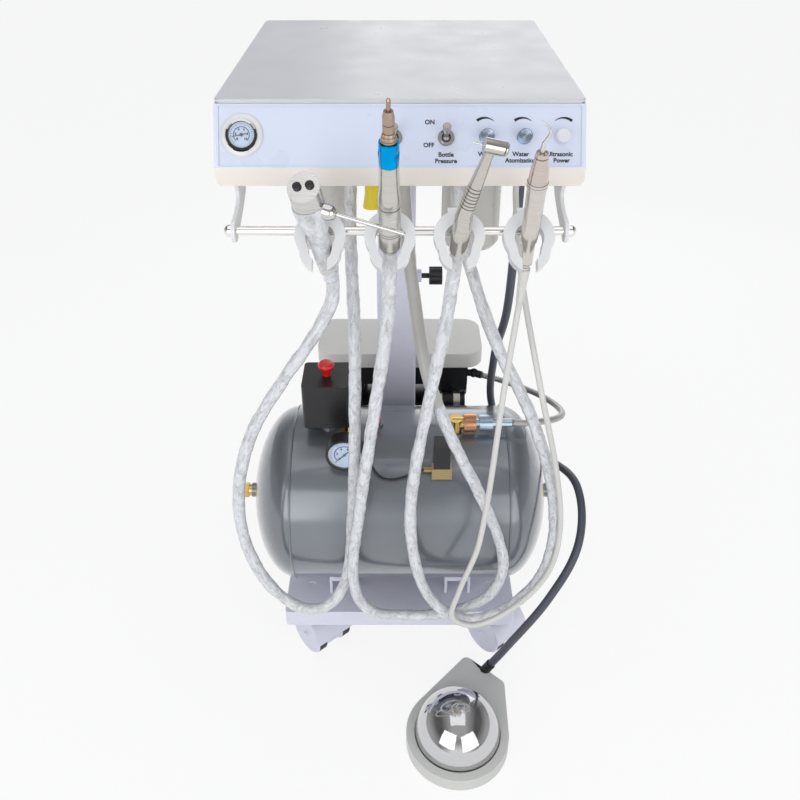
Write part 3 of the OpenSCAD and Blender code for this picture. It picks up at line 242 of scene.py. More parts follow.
def braided(name, colour):  # two crossing sets of wires, coloured darker where they dip and brighter on their crests as a painted highlight
    material, tree, shader = newMaterial(name)
    uv = addNode(tree, "ShaderNodeUVMap", uv_map="run")
    parts = addNode(tree, "ShaderNodeSeparateXYZ")
    tree.links.new(uv.outputs["UV"], parts.inputs["Vector"])
    waves = []
    for way in (-1, 1):
        around = mathNode(tree, "MULTIPLY", parts.outputs["X"], 2 * math.pi * wires["round"])
        along = mathNode(tree, "MULTIPLY", parts.outputs["Y"], way * wires["slant"])
        slope = mathNode(tree, "ADD", around, along)
        waves.append(mathNode(tree, "SINE", slope))
    weave = mathNode(tree, "MAXIMUM", *waves)
    # darker where the wires dip, and a painted highlight on their crests
    ramp = rampBetween(tree, mathNode(tree, "MULTIPLY", mathNode(tree, "ADD", weave, 1.0), 0.5),
                       [(0.35, tint(colour, 0.35)), (0.8, colour), (1.0, tint(colour, 1.5))])
    tree.links.new(ramp.outputs["Color"], shader.inputs["Base Color"])
    shader.inputs["Metallic"].default_value = 0.9
    shader.inputs["Roughness"].default_value = 0.32
    bumpFrom(tree, shader, weave, 0.5, 0.0006)
    return material


def turned(name, colour, centre, turn, grooves, span, rough=0.28, grooveShade=0.3):
    # lathe-turned metal: fine rings across its axis, and painted shade in the grooves at the given stations
    # in mm
    material, tree, shader = newMaterial(name)
    own = onOwnAxis(tree, centre, turn)
    parts = addNode(tree, "ShaderNodeSeparateXYZ")
    tree.links.new(own, parts.inputs["Vector"])
    along = addNode(tree, "ShaderNodeMapRange")
    along.inputs["From Min"].default_value = span[0] / 1000
    along.inputs["From Max"].default_value = span[1] / 1000
    tree.links.new(parts.outputs["Z"], along.inputs["Value"])
    stops = [(0.0, colour)]
    for at, wide in grooves:
        lo, hi = [(at + way * wide / 2 - span[0]) / (span[1] - span[0]) for way in (-1, 1)]
        edge = 0.15 * (hi - lo)
        # painted shade: the base colour is darkened inside each groove
        stops += [(lo, colour), (lo + edge, tint(colour, grooveShade)),
                  (hi - edge, tint(colour, grooveShade)), (hi, colour)]
    bands = rampBetween(tree, along.outputs["Result"], stops)
    squeeze = addNode(tree, "ShaderNodeMapping")
    squeeze.inputs["Scale"].default_value = (30, 30, 2500)
    tree.links.new(own, squeeze.inputs["Vector"])
    lines = addNode(tree, "ShaderNodeTexNoise")
    lines.inputs["Scale"].default_value = 1
    tree.links.new(squeeze.outputs["Vector"], lines.inputs["Vector"])
    fine = rampBetween(tree, lines.outputs["Fac"], [(0.35, (0.86,) * 3), (0.65, (1, 1, 1))])
    mix = addNode(tree, "ShaderNodeMixRGB", blend_type="MULTIPLY")
    mix.inputs["Fac"].default_value = 1
    tree.links.new(bands.outputs["Color"], mix.inputs["Color1"])
    tree.links.new(fine.outputs["Color"], mix.inputs["Color2"])
    tree.links.new(mix.outputs["Color"], shader.inputs["Base Color"])
    shader.inputs["Metallic"].default_value = 1
    roughRamp = rampBetween(tree, lines.outputs["Fac"],
                            [(0.3, (rough * 0.8,) * 3), (0.7, (rough * 1.25,) * 3)])
    tree.links.new(roughRamp.outputs["Color"], shader.inputs["Roughness"])
    bumpFrom(tree, shader, bands.outputs["Color"], 0.35, 0.0006)
    return material


def spunFaceWithPaintedHighlights(name, colour, centre, turn, rough=0.25):  # spun disc, its base colour painted with a fan of light and dark wedges as highlights and reflections
    material, tree, shader = newMaterial(name)
    own = onOwnAxis(tree, centre, turn)
    fan = addNode(tree, "ShaderNodeTexGradient", gradient_type="RADIAL")
    tree.links.new(own, fan.inputs["Vector"])
    # painted highlights and reflections: wedges 1.5 times lighter and 0.7 times darker round the disc's
    # centre
    ramp = rampBetween(tree, fan.outputs["Fac"], [
        (0.0, tint(colour, 0.75)), (0.14, tint(colour, 1.5)), (0.30, tint(colour, 0.7)),
        (0.5, tint(colour, 0.8)), (0.64, tint(colour, 1.5)), (0.80, tint(colour, 0.7)),
        (1.0, tint(colour, 0.75))])
    tree.links.new(ramp.outputs["Color"], shader.inputs["Base Color"])
    shader.inputs["Metallic"].default_value = 1
    shader.inputs["Roughness"].default_value = rough
    rings = addNode(tree, "ShaderNodeTexWave", wave_type="RINGS", rings_direction="Z")
    rings.inputs["Scale"].default_value = 900
    tree.links.new(own, rings.inputs["Vector"])
    bumpFrom(tree, shader, rings.outputs["Fac"], 0.12, 0.0003)
    return material


spunBlue = (0.42, 0.50, 0.62)
noseGrooves = [(133, 1), (137, 0.8), (141, 0.8), (150, 1.2)]
finish = {
    "lidWhite": coated("lidWhite", (0.655, 0.665, 0.69), 0.32, bump=0.05, vary=0.03),
    "shellCream": coated("shellCream", (0.90, 0.84, 0.77), 0.35, bump=0.05, vary=0.03),
    "bracketWhite": coated("bracketWhite", (0.84, 0.84, 0.85), 0.33, bump=0.05, vary=0.03),
    "panelBlueWhite": coated("panelBlueWhite", (0.74, 0.79, 0.94), 0.3, bump=0.03, vary=0.025),
    "lavenderCoat": coated("lavenderCoat", (0.80, 0.80, 0.91), 0.34, bump=0.06, vary=0.05),
    "tankGrey": coated("tankGrey", (0.20, 0.22, 0.245), 0.22, 500, 0.06, 0.12, 1.0, 0.4),
    "pumpBlack": coated("pumpBlack", (0.012, 0.012, 0.014), 0.4, 350, 0.35, 0.3),
    "hoodBeige": coated("hoodBeige", (0.77, 0.76, 0.72), 0.36, bump=0.08, vary=0.05),
    "bottleMilk": coated("bottleMilk", (0.66, 0.64, 0.60), 0.3, bump=0.04, vary=0.06, coat=0.3),
    "cupYellow": coated("cupYellow", (0.85, 0.68, 0.03), 0.35, bump=0.04),
    "blackPlastic": coated("blackPlastic", (0.015, 0.015, 0.017), 0.36, 700, 0.25, 0.25),
    "knobRed": coated("knobRed", (0.75, 0.012, 0.01), 0.28, bump=0.04, coat=0.5),
    "holderWhite": coated("holderWhite", (0.80, 0.80, 0.80), 0.24, bump=0.03, vary=0.03, coat=0.5),
    "knobWhite": coated("knobWhite", (0.80, 0.81, 0.86), 0.3, bump=0.03, vary=0.03),
    "pedalGrey": coated("pedalGrey", (0.67, 0.67, 0.64), 0.34, bump=0.07, vary=0.04),
    "hoseSlate": coated("hoseSlate", (0.085, 0.09, 0.115), 0.42, 250, 0.3, 0.2),
    "hoseBare": coated("hoseBare", (0.50, 0.49, 0.46), 0.32, 300, 0.1, 0.08, 0.3),
    "cableWhite": coated("cableWhite", (0.70, 0.69, 0.66), 0.36, 200, 0.12, 0.07, 0.2),
    "wheelRubber": coated("wheelRubber", (0.018, 0.018, 0.02), 0.6, 400, 0.35, 0.25),
    "leverGrey": coated("leverGrey", (0.40, 0.38, 0.35), 0.3, bump=0.05, metal=0.7),
    "needleNavy": coated("needleNavy", (0.015, 0.015, 0.06), 0.4, bump=0.02),
    "inkBlack": coated("inkBlack", (0.012, 0.012, 0.016), 0.4, bump=0.02, vary=0.2),
    "dialWhite": coated("dialWhite", (0.60, 0.74, 0.92), 0.4, bump=0.02, vary=0.05),
    "arcBlue": coated("arcBlue", (0.03, 0.05, 0.34), 0.4, bump=0.02, vary=0.1),
    "chrome": brushed("chrome", (0.62, 0.62, 0.63), 0.07, vary=0.04),
    "syringeChrome": brushed("syringeChrome", (0.62, 0.61, 0.60), 0.11, vary=0.12),
    "rodChrome": brushed("rodChrome", (0.86, 0.84, 0.83), 0.12, (1, 40, 40), 0.06),
    "satinSteel": brushed("satinSteel", (0.70, 0.685, 0.66), 0.26),
    "bronze": brushed("bronze", (0.42, 0.31, 0.24), 0.22),
    "ringCyan": brushed("ringCyan", (0.0, 0.36, 0.80), 0.24, (1, 1, 1), 0.08),
    "brass": brushed("brass", (0.66, 0.46, 0.16), 0.24),
    "brassDark": brushed("brassDark", (0.40, 0.31, 0.16), 0.3),
    "copperHex": brushed("copperHex", (0.68, 0.34, 0.19), 0.25),
    "blueSteelHex": brushed("blueSteelHex", (0.46, 0.58, 0.68), 0.2),
    "hoseFilm": filmWrap("hoseFilm", (0.70, 0.71, 0.73)),
    "braidSteel": braided("braidSteel", (0.50, 0.49, 0.48)),
    "motorSatin": turned("motorSatin", (0.68, 0.66, 0.62), axisStart(1), axisTurn(1),
                         [(-5, 1), (15, 1.2), (18, 0.8), (51, 1.6), (54.5, 0.8), (63, 0.6)], (-15, 110)),
    "noseSatin": turned("noseSatin", (0.67, 0.64, 0.61), axisStart(1), axisTurn(1),
                        noseGrooves, (100, 175), 0.2),
    "noseBronze": turned("noseBronze", (0.48, 0.36, 0.28), axisStart(1), axisTurn(1),
                         noseGrooves, (100, 175), 0.2),
    "turbineChrome": turned("turbineChrome", (0.64, 0.61, 0.57), neckStart, neckTurn,
                            [(12 + 4.2 * k, 1.7) for k in range(7)], (-60, 110), 0.15),
    "scalerSatin": turned("scalerSatin", (0.72, 0.68, 0.64), axisStart(3), axisTurn(3),
                          [(-34, 0.9), (-28, 0.9), (79, 0.7), (82.5, 1.0)], (-45, 125), 0.22),
    "scalerNose": turned("scalerNose", (0.68, 0.60, 0.55), axisStart(3), axisTurn(3),
                         [(112, 1.2)], (-45, 125), 0.2),
    "knobSpunPaintedHighlightOne": spunFaceWithPaintedHighlights("knobSpunPaintedHighlightOne", spunBlue, onPanel(93, -1, 0).translation, panelTurn),
    "knobSpunPaintedHighlightTwo": spunFaceWithPaintedHighlights("knobSpunPaintedHighlightTwo", spunBlue, onPanel(133.5, -1, 0).translation, panelTurn),
}
print("materials made")

# ---- hoses and cables

ferrule = (160, 75, 411)
hoses = {
    "hose_syringe": {"wide": 16, "finish": "hoseFilm", "body": "head", "slot": "hose_wrap",
        "route": [onAxis(0, -40.05), onAxis(0, -60), (-78, -62, 685), (-98, -64, 645), (-140, -65, 580),
                  (-185, -70, 500), (-210, -70, 390), (-200, -70, 290), (-165, -65, 210), (-120, -60, 180),
                  (-85, -50, 205), (-68, -45, 290), (-55, -30, 590), (-60, 40, 720), (-60, 60, 765),
                  (-60, 60, 800)]},
    "hose_lowspeed": {"wide": 16, "bareFrom": 0.79, "finish": "hoseFilm", "body": "head", "slot": "hose_wrap",
        "route": [onAxis(1, -10.05), onAxis(1, -30), (-15, -70, 660), (-55, -65, 360), (-65, -65, 250),
                  (-45, -60, 180), (10, -50, 155), (80, -45, 160), (130, -45, 195), (145, -45, 255),
                  (125, -45, 335), (40, -35, 545), (15, 25, 665), (5, 60, 760), (5, 60, 800)]},
    "hose_highspeed": {"wide": 16, "finish": "hoseFilm", "body": "head", "slot": "hose_wrap",
        "route": [onAxis(2, -12.05), onAxis(2, -32), (55, -65, 680), (15, -65, 400), (20, -65, 285),
                  (45, -65, 205), (95, -65, 165), (150, -60, 180), (195, -55, 235), (210, -50, 310),
                  (200, -45, 400), (165, -40, 510), (115, -15, 610), (80, 35, 705), (70, 60, 760),
                  (70, 60, 800)]},
    "cable_scaler": {"wide": 7.5, "finish": "cableWhite", "body": "head", "slot": "hose_wrap",
        "route": [onAxis(3, -89), onAxis(3, -104), (125, -70, 580), (105, -85, 340), (80, -85, 240),
                  (75, -80, 185), (110, -75, 165), (165, -70, 200), (205, -65, 260), (215, -60, 335),
                  (200, -60, 440), (170, -55, 565), (145, 10, 690), (140, 60, 765), (140, 60, 800)]},
    "hose_pedal": {"wide": 12, "finish": "hoseSlate", "body": "cart", "slot": "dark_hose",
        "route": [(150, 100, 800), (150, 100, 740), (150, 130, 570), (145, 200, 440), (155, 245, 310),
                  (200, 230, 240), (245, 165, 265), (269, 80, 285), (260, 0, 250), (220, -30, 170),
                  (160, -40, 70), (140, -40, 35)]},
    "hose_braided": {"wide": 10, "finish": "braidSteel", "body": "cart", "slot": "braid",
        "route": [ferrule, (182, 75, 411), (235, 115, 390), (250, 180, 360), (225, 240, 345),
                  (170, 295, 335), (140, 310, 335)]},
}


curveSteps = 24


def smoothRoute(points, step):
    # a smooth curve through every point, cut again into even steps
    pts = [Vector(p) for p in points]
    dense = []
    for i in range(len(pts) - 1):
        a, b = pts[i], pts[i + 1]
        before = pts[i - 1] if i > 0 else a - (b - a)
        after = pts[i + 2] if i + 2 < len(pts) else b + (b - a)
        span = (b - a).length
        ta = ((b - before) / max((b - before).length, 1e-6)) * span
        tb = ((after - a) / max((after - a).length, 1e-6)) * span
        for k in range(curveSteps):
            t = k / curveSteps
            dense.append((2 * t**3 - 3 * t**2 + 1) * a + (t**3 - 2 * t**2 + t) * ta
                         + (-2 * t**3 + 3 * t**2) * b + (t**3 - t**2) * tb)
    dense.append(pts[-1])
    runs = [0.0]
    for i in range(1, len(dense)):
        runs.append(runs[-1] + (dense[i] - dense[i - 1]).length)
    count = max(8, round(runs[-1] / step))
    even, j = [], 0
    for k in range(count + 1):
        want = runs[-1] * k / count
        while j < len(runs) - 2 and runs[j + 1] < want:
            j += 1
        gap = max(runs[j + 1] - runs[j], 1e-9)
        even.append(dense[j].lerp(dense[j + 1], (want - runs[j]) / gap))
    return even, runs[-1]


film = {"ridge": 0.0006, "ridgeScale": 85, "puff": 0.0010, "puffScale": 38, "smoothRings": 4}
sweepLook = {True: {"step": 3.5, "sides": 24}, False: {"step": 6, "sides": 16}}


def meshObject(name, mesh, *materials):
    data = bpy.data.meshes.new(name)
    mesh.to_mesh(data)
    mesh.free()
    for material in materials:
        data.materials.append(material)
    made = bpy.data.objects.new(name, data)
    scene.collection.objects.link(made)
    return made


def sweepTube(name, path, radii, sides, crumpled=False, bareFrom=1.0):
    mesh = bmesh.new()
    spot = {}
    normal = None
    previous = None
    along = 0
    for i, p in enumerate(path):
        ahead = (path[min(i + 1, len(path) - 1)] - path[max(i - 1, 0)]).normalized()
        along += (p - path[max(i - 1, 0)]).length
        if normal is None:
            normal = ahead.cross(Vector((0, 1, 0))).normalized()
        normal = (normal - ahead * normal.dot(ahead)).normalized()
        turn = Matrix((normal, ahead.cross(normal), ahead)).transposed().to_4x4()
        turn.translation = p
        radius = radii[i] if isinstance(radii, list) else radii
        ring = bmesh.ops.create_circle(mesh, cap_ends=False, segments=sides, radius=radius,
                                       matrix=turn)["verts"]
        fade = min(1, min(i, len(path) - 1 - i) / film["smoothRings"])
        if i / len(path) > bareFrom:
            fade = 0
        for k, v in enumerate(ring):
            spot[v] = (k / sides, along)
            if crumpled:
                out = (v.co - p).normalized()
                fold = noise.ridged_multi_fractal(v.co * film["ridgeScale"], 0.8, 2.1, 4, 0.9, 2.0)
                puff = noise.noise(v.co * film["puffScale"])
                v.co += out * fade * (film["ridge"] * (fold - 1.3) + film["puff"] * puff)
        edges = list({e for v in ring for e in v.link_edges})
        if previous:
            bmesh.ops.bridge_loops(mesh, edges=previous + edges)
        else:
            bmesh.ops.contextual_create(mesh, geom=edges)
        previous = edges
    bmesh.ops.contextual_create(mesh, geom=previous)
    bmesh.ops.recalc_face_normals(mesh, faces=mesh.faces)
    layer = mesh.loops.layers.uv.new("run")
    for face in mesh.faces:
        around = [spot[loop.vert][0] for loop in face.loops]
        seam = max(around) - min(around) > 0.5
        for loop, u in zip(face.loops, around):
            loop[layer].uv = (u + 1 if seam and u < 0.5 else u, spot[loop.vert][1])
        face.smooth = True
        middle = sum(spot[loop.vert][1] for loop in face.loops) / len(around)
        face.material_index = int(middle > bareFrom * along)
    return meshObject(name, mesh)


for name, hose in hoses.items():
    crumpled = hose["finish"] == "hoseFilm"
    look = sweepLook[crumpled]
    path, runMm = smoothRoute(hose["route"], look["step"])
    path = [place(*p) for p in path]
    tube = sweepTube(name + "_looks", path, hose["wide"] / 2000, look["sides"], crumpled,
                     hose.get("bareFrom", 1.0))
    tube.data.materials.append(finish[hose["finish"]])
    if "bareFrom" in hose:
        tube.data.materials.append(finish["hoseBare"])
    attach(tube, hose["body"])
    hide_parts(name)


def profileSweep(name, index, profile, step, kind, body, crumpled=False):
    count = int((profile[-1][0] - profile[0][0]) / step) + 1
    stations = [profile[0][0] + step * k for k in range(count)]
    radii = []
    for at in stations:
        (s0, r0), (s1, r1) = next((a, b) for a, b in zip(profile, profile[1:]) if a[0] <= at <= b[0])
        radii.append((r0 + (r1 - r0) * (at - s0) / (s1 - s0)) / 1000)
    made = sweepTube(name, [place(*onAxis(index, at)) for at in stations], radii, 32, crumpled)
    made.data.materials.append(finish[kind])
    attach(made, body)
    return made


# clear film bunched round the syringe's handle, and the scaler cable's tapered sleeve
filmProfile = [(-54, 8.8), (-50, 9.6), (-38, 11.0), (-10, 11.2), (14, 11.8), (24, 14.4), (32, 16.4),
               (40, 17.8), (47, 18.5), (53, 18.2), (55, 17.4)]
sleeveProfile = [(-92, 4.1), (-88, 4.5), (-60, 5.3), (-46, 6.2), (-39, 6.4)]
profileSweep("syringeFilm", 0, filmProfile, 1.5, "hoseFilm", "syringe", True)
profileSweep("scalerSleeve", 3, sleeveProfile, 1.0, "cableWhite", "head")
print("hoses made")

# ---- finishes on the pieces that keep their CAD shape

nodeFinish = {
    "base_tray": "lavenderCoat", "air_tank": "tankGrey", "compressor_pump": "pumpBlack",
    "compressor_hood": "hoodBeige", "compressor_fan": "blackPlastic", "start_capacitor": "blackPlastic",
    "column_lower": "lavenderCoat", "column_upper": "lavenderCoat", "height_knob": "blackPlastic",
    "box_shell": "shellCream", "box_lid": "lidWhite", "front_panel": "panelBlueWhite",
    "panel_gauge": "blackPlastic", "gauge_needle": "needleNavy", "toggle_bushes": "chrome",
    "bottle_lever": "leverGrey", "power_lever": "leverGrey", "knob_water": "knobSpunPaintedHighlightOne",
    "knob_atomization": "knobSpunPaintedHighlightTwo", "knob_ultrasonic": "knobWhite", "rod_brackets": "bracketWhite",
    "holder_rod": "rodChrome", "instrument_holders": "holderWhite", "syringe_body": "syringeChrome",
    "syringe_nozzle": "syringeChrome", "syringe_air_button": "blackPlastic",
    "syringe_water_button": "blackPlastic", "lowspeed_motor": "motorSatin",
    "lowspeed_nose": "noseSatin", "lowspeed_lock_ring": "ringCyan", "lowspeed_bur": "bronze",
    "highspeed_body": "turbineChrome", "highspeed_button": "turbineChrome", "highspeed_bur": "satinSteel",
    "scaler_body": "scalerSatin", "scaler_tip": "satinSteel", "tank_fittings": "brass",
    "pressure_switch": "blackPlastic", "pressure_knob": "knobRed", "tank_gauge": "blackPlastic",
    "tank_gauge_needle": "needleNavy", "solenoid_valve": "brassDark", "pedal_base": "pedalGrey",
    "pedal_cap": "chrome", "caster_fork_1": "lavenderCoat", "caster_fork_2": "lavenderCoat",
    "caster_fork_3": "lavenderCoat", "caster_fork_4": "lavenderCoat", "caster_wheels_1": "wheelRubber",
    "caster_wheels_2": "wheelRubber", "caster_wheels_3": "wheelRubber", "caster_wheels_4": "wheelRubber",
    "bottles": "bottleMilk", "valve_manifold": "satinSteel",
}
for name, kind in nodeFinish.items():
    nodes[name].data.materials.clear()
    nodes[name].data.materials.append(finish[kind])


def paintWhere(name, kind, test):  # a second finish on the faces whose middles pass the test, in cart mm
    data = nodes[name].data
    data.materials.append(finish[kind])
    index = len(data.materials) - 1
    for face in data.polygons:
        c = face.center
        if test(c.x * 1000, (c.y - rearShift) * 1000, c.z * 1000):
            face.material_index = index


def alongAxis(index, x, y, z):
    start = Vector(onAxis(index, 0))
    step = Vector(onAxis(index, 1)) - start
    return (Vector((x, y, z)) - start).dot(step)


paintWhere("tank_fittings", "copperHex", lambda x, y, z: 91 < x < 109.5 and y < 95 and z > 395)
paintWhere("tank_fittings", "blueSteelHex", lambda x, y, z: 109.5 <= x < 200 and y < 95 and z > 395)
paintWhere("tank_fittings", "knobRed", lambda x, y, z: -50 < x < -20 and z > 398)
paintWhere("solenoid_valve", "blackPlastic", lambda x, y, z: z > 384.2 and x > 30)
paintWhere("solenoid_valve", "blackPlastic", lambda x, y, z: x < 33)
paintWhere("bottles", "cupYellow", lambda x, y, z: -50 < x < -15)
paintWhere("panel_gauge", "holderWhite", lambda x, y, z: math.hypot(x + 170, (z - 865.4) / 0.891) > 16.85)
paintWhere("pedal_base", "blackPlastic", lambda x, y, z: x > 118 and y > -50 and (z > 22.05 or y > -33))
paintWhere("start_capacitor", "satinSteel", lambda x, y, z: 60 < x < 72 or 90 < x < 102)
paintWhere("lowspeed_nose", "noseBronze", lambda x, y, z: alongAxis(1, x, y, z) > 129.5)
paintWhere("scaler_body", "scalerNose", lambda x, y, z: alongAxis(3, x, y, z) > 83.5)
for bushX, bushY in ((-6.5, -2), (49.5, -2)):
    panelBack = onPanel(bushX, bushY, 0).inverted()
    paintWhere("toggle_bushes", "blackPlastic",
               lambda x, y, z: (panelBack @ place(x, y, z)).xy.length < 0.0052)


def paintFacing(name, kind, test):  # the same by a face's own direction
    data = nodes[name].data
    data.materials.append(finish[kind])
    for face in data.polygons:
        if test(face.normal, face.center):
            face.material_index = len(data.materials) - 1


casterTurn = math.radians(40)
paintFacing("box_shell", "panelBlueWhite", lambda n, c: n.y < -0.8 and 0.2 < n.z < 0.7 and c.z > 0.834)
for k in range(4):
    paintFacing(f"caster_wheels_{k + 1}", "lavenderCoat",
                lambda n, c: abs(n.x * math.cos(casterTurn) + n.y * math.sin(casterTurn)) > 0.5)
print("finishes set")

# ---- rounded copies of the moulded and folded pieces

roundedNodes = {
    "box_shell": (0.8, 3), "box_lid": (1.5, 3), "instrument_holders": (3.0, 4), "compressor_hood": (2.0, 3),
    "base_tray": (1.2, 2), "pedal_base": (3.0, 4), "rod_brackets": (0.8, 2), "pressure_switch": (1.5, 3),
    "column_upper": (0.6, 2), "column_lower": (0.8, 2), "height_knob": (1.0, 2), "air_tank": (0.4, 2),
    "syringe_body": (0.5, 3), "syringe_nozzle": (0.2, 2), "lowspeed_motor": (0.3, 2),
    "lowspeed_nose": (0.25, 2),
    "lowspeed_lock_ring": (0.5, 2), "highspeed_body": (0.4, 3), "highspeed_button": (0.4, 2),
    "scaler_body": (0.3, 2), "pedal_cap": (0.3, 2), "pressure_knob": (0.5, 3), "tank_gauge": (0.6, 2),
    "panel_gauge": (0.4, 2), "knob_water": (0.25, 2), "knob_atomization": (0.25, 2),
    "knob_ultrasonic": (0.4, 2),
    "holder_rod": (0.3, 2), "toggle_bushes": (0.3, 2),
}
bodyOf = {n: b for b, held in frame["record"]["behaviour"]["bodies"].items() for n in held}


def roundedCopy(name, width, segments):
    data = nodes[name].data.copy()
    mesh = bmesh.new()
    mesh.from_mesh(data)
    bmesh.ops.remove_doubles(mesh, verts=mesh.verts, dist=2e-6)
    bmesh.ops.dissolve_limit(mesh, angle_limit=math.radians(1), verts=mesh.verts, edges=mesh.edges,
                             delimit={"MATERIAL"})
    mesh.to_mesh(data)
    mesh.free()
    made = bpy.data.objects.new(name + "_rounded", data)
    scene.collection.objects.link(made)
    bevel = made.modifiers.new("edges", "BEVEL")
    bevel.width = width / 1000
    bevel.segments = segments
    bevel.limit_method = "ANGLE"
    bevel.angle_limit = math.radians(40)
    bevel.use_clamp_overlap = True
    for face in data.polygons:
        face.use_smooth = True
    made.modifiers.new("shading", "WEIGHTED_NORMAL").keep_sharp = True
    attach(made, bodyOf[name])
    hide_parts(name)
    return made


for name, (width, segments) in roundedNodes.items():
    roundedCopy(name, width, segments)
print("rounded copies made")

# ---- panel lettering, arcs and dials

clearGlass, glassTree, glassShader = newMaterial("clearGlass")
glassShader.inputs["Base Color"].default_value = (1, 1, 1, 1)
glassShader.inputs["Alpha"].default_value = 0.08
smears = objectNoise(glassTree, 60, 4)
smearRamp = rampBetween(glassTree, smears.outputs["Fac"], [(0.4, (0.02,) * 3), (0.8, (0.09,) * 3)])
glassTree.links.new(smearRamp.outputs["Color"], glassShader.inputs["Roughness"])


def finishPiece(made, body, matrix=None):
    if matrix is not None:
        made.data.transform(matrix)
    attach(made, body)
    return made


inkRelief = {"extrude": 0.00008, "offset": 0.0002}
labelSize = 6.7


def lettering(name, words, size, matrix, body="head"):
    curve = bpy.data.curves.new(name, "FONT")
    curve.body = words
    curve.size = size / 1000
    curve.align_x = "CENTER"
    curve.align_y = "CENTER"
    curve.extrude = inkRelief["extrude"]
    curve.offset = inkRelief["offset"]
    curve.resolution_u = 4
    holder = bpy.data.objects.new(name + "_curve", curve)
    scene.collection.objects.link(holder)
    bpy.context.view_layer.update()
    data = bpy.data.meshes.new_from_object(holder.evaluated_get(bpy.context.evaluated_depsgraph_get()))
    bpy.data.objects.remove(holder)
    made = bpy.data.objects.new(name, data)
    scene.collection.objects.link(made)
    data.materials.clear()
    data.materials.append(finish["inkBlack"])
    return finishPiece(made, body, matrix)


labels = {
    "labelOn": ("ON", 32, 14.7), "labelOff": ("OFF", 31, -9.7), "labelBottle": ("Bottle", 49.5, -19.8),
    "labelPressure": ("Pressure", 49.5, -26.6), "labelWater": ("Water", 130, -19.3),
    "labelAtomization": ("Atomization", 130, -26), "labelUltrasonic": ("Ultrasonic", 172, -19.3),
    "labelPower": ("Power", 174, -26), "labelSupply": ("Water", 93, -19.3),
}
for name, (words, x, y) in labels.items():
    lettering(name, words, labelSize, onPanel(x, y, 0.12))


def flatPiece(name, outline, thickness, material, matrix, body):
    mesh = bmesh.new()
    verts = [mesh.verts.new((x / 1000, y / 1000, 0)) for x, y in outline]
    face = mesh.faces.new(verts)
    solid = bmesh.ops.extrude_face_region(mesh, geom=[face])
    lifted = [g for g in solid["geom"] if isinstance(g, bmesh.types.BMVert)]
    bmesh.ops.translate(mesh, verts=lifted, vec=(0, 0, thickness / 1000))
    bmesh.ops.recalc_face_normals(mesh, faces=mesh.faces)
    return finishPiece(meshObject(name, mesh, material), body, matrix)


def arcOutline(radius, start, end, wideStart, wideEnd, steps=24):
    outer, inner = [], []
    for k in range(steps + 1):
        t = k / steps
        a = math.radians(start + (end - start) * t)
        w = wideStart + (wideEnd - wideStart) * t
        outer.append(((radius + w / 2) * math.cos(a), (radius + w / 2) * math.sin(a)))
        inner.append(((radius - w / 2) * math.cos(a), (radius - w / 2) * math.sin(a)))
    return outer + inner[::-1]


knobArcs = {"radius": 14.5, "thick": 3.2, "thin": 0.6, "knobs": ((93, 1), (133.5, 1), (174, -1))}
for k, (x, way) in enumerate(knobArcs["knobs"]):
    wide = (knobArcs["thin"], knobArcs["thick"]) if way > 0 else (knobArcs["thick"], knobArcs["thin"])
    flatPiece(f"knobArc{k + 1}", arcOutline(knobArcs["radius"], 50, 128, *wide), 0.15, finish["inkBlack"],
              onPanel(x - 1.5 * way, 5, 0.02), "head")


def dialSet(name, radius, matrix, body):
    circle = [(radius * math.cos(a), radius * math.sin(a)) for a in
              [2 * math.pi * k / 64 for k in range(64)]]
    flatPiece(name + "Face", circle, 0.15, finish["dialWhite"], matrix, body)
    for k in range(27):
        a = math.radians(225 - 270 * k / 26)
        long = 0.16 if k % 5 == 0 else 0.09
        r1, r0, w = radius * 0.9, radius * (0.9 - long), 0.028 * radius
        c, s = math.cos(a), math.sin(a)
        tick = [(r0 * c - w / 2 * s, r0 * s + w / 2 * c), (r0 * c + w / 2 * s, r0 * s - w / 2 * c),
                (r1 * c + w / 2 * s, r1 * s - w / 2 * c), (r1 * c - w / 2 * s, r1 * s + w / 2 * c)]
        flatPiece(f"{name}Tick{k}", tick, 0.1, finish["inkBlack"],
                  matrix @ Matrix.Translation((0, 0, 0.00014)), body)
    flatPiece(name + "Arc", arcOutline(radius * 0.62, 225, -45, radius * 0.07, radius * 0.07, 48), 0.1,
              finish["arcBlue"], matrix @ Matrix.Translation((0, 0, 0.00014)), body)
    for k in range(6):
        a = math.radians(225 - 270 * k / 5)
        reach = radius * 0.46
        spot = Matrix.Translation((reach * math.cos(a) / 1000, reach * math.sin(a) / 1000, 0.00024))
        lettering(f"{name}Number{k}", str(k * 2), radius * 0.26, matrix @ spot, body)
    flatPiece(name + "Glass", [(p[0] * 1.02, p[1] * 1.02) for p in circle], 0.3, clearGlass,
              matrix @ Matrix.Translation((0, 0, 0.0023)), body)


dialSet("panelDial", 13.8, onPanel(-170, 1, 3.05), "head")
tankDialSpot = Matrix.Translation(place(-76, 8.9, 407)) @ Matrix.Rotation(math.pi / 2, 4, "X")
dialSet("tankDial", 22.5, tankDialSpot, "cart")
print("dials and lettering made")

# ---- weld beads round the tank's shell

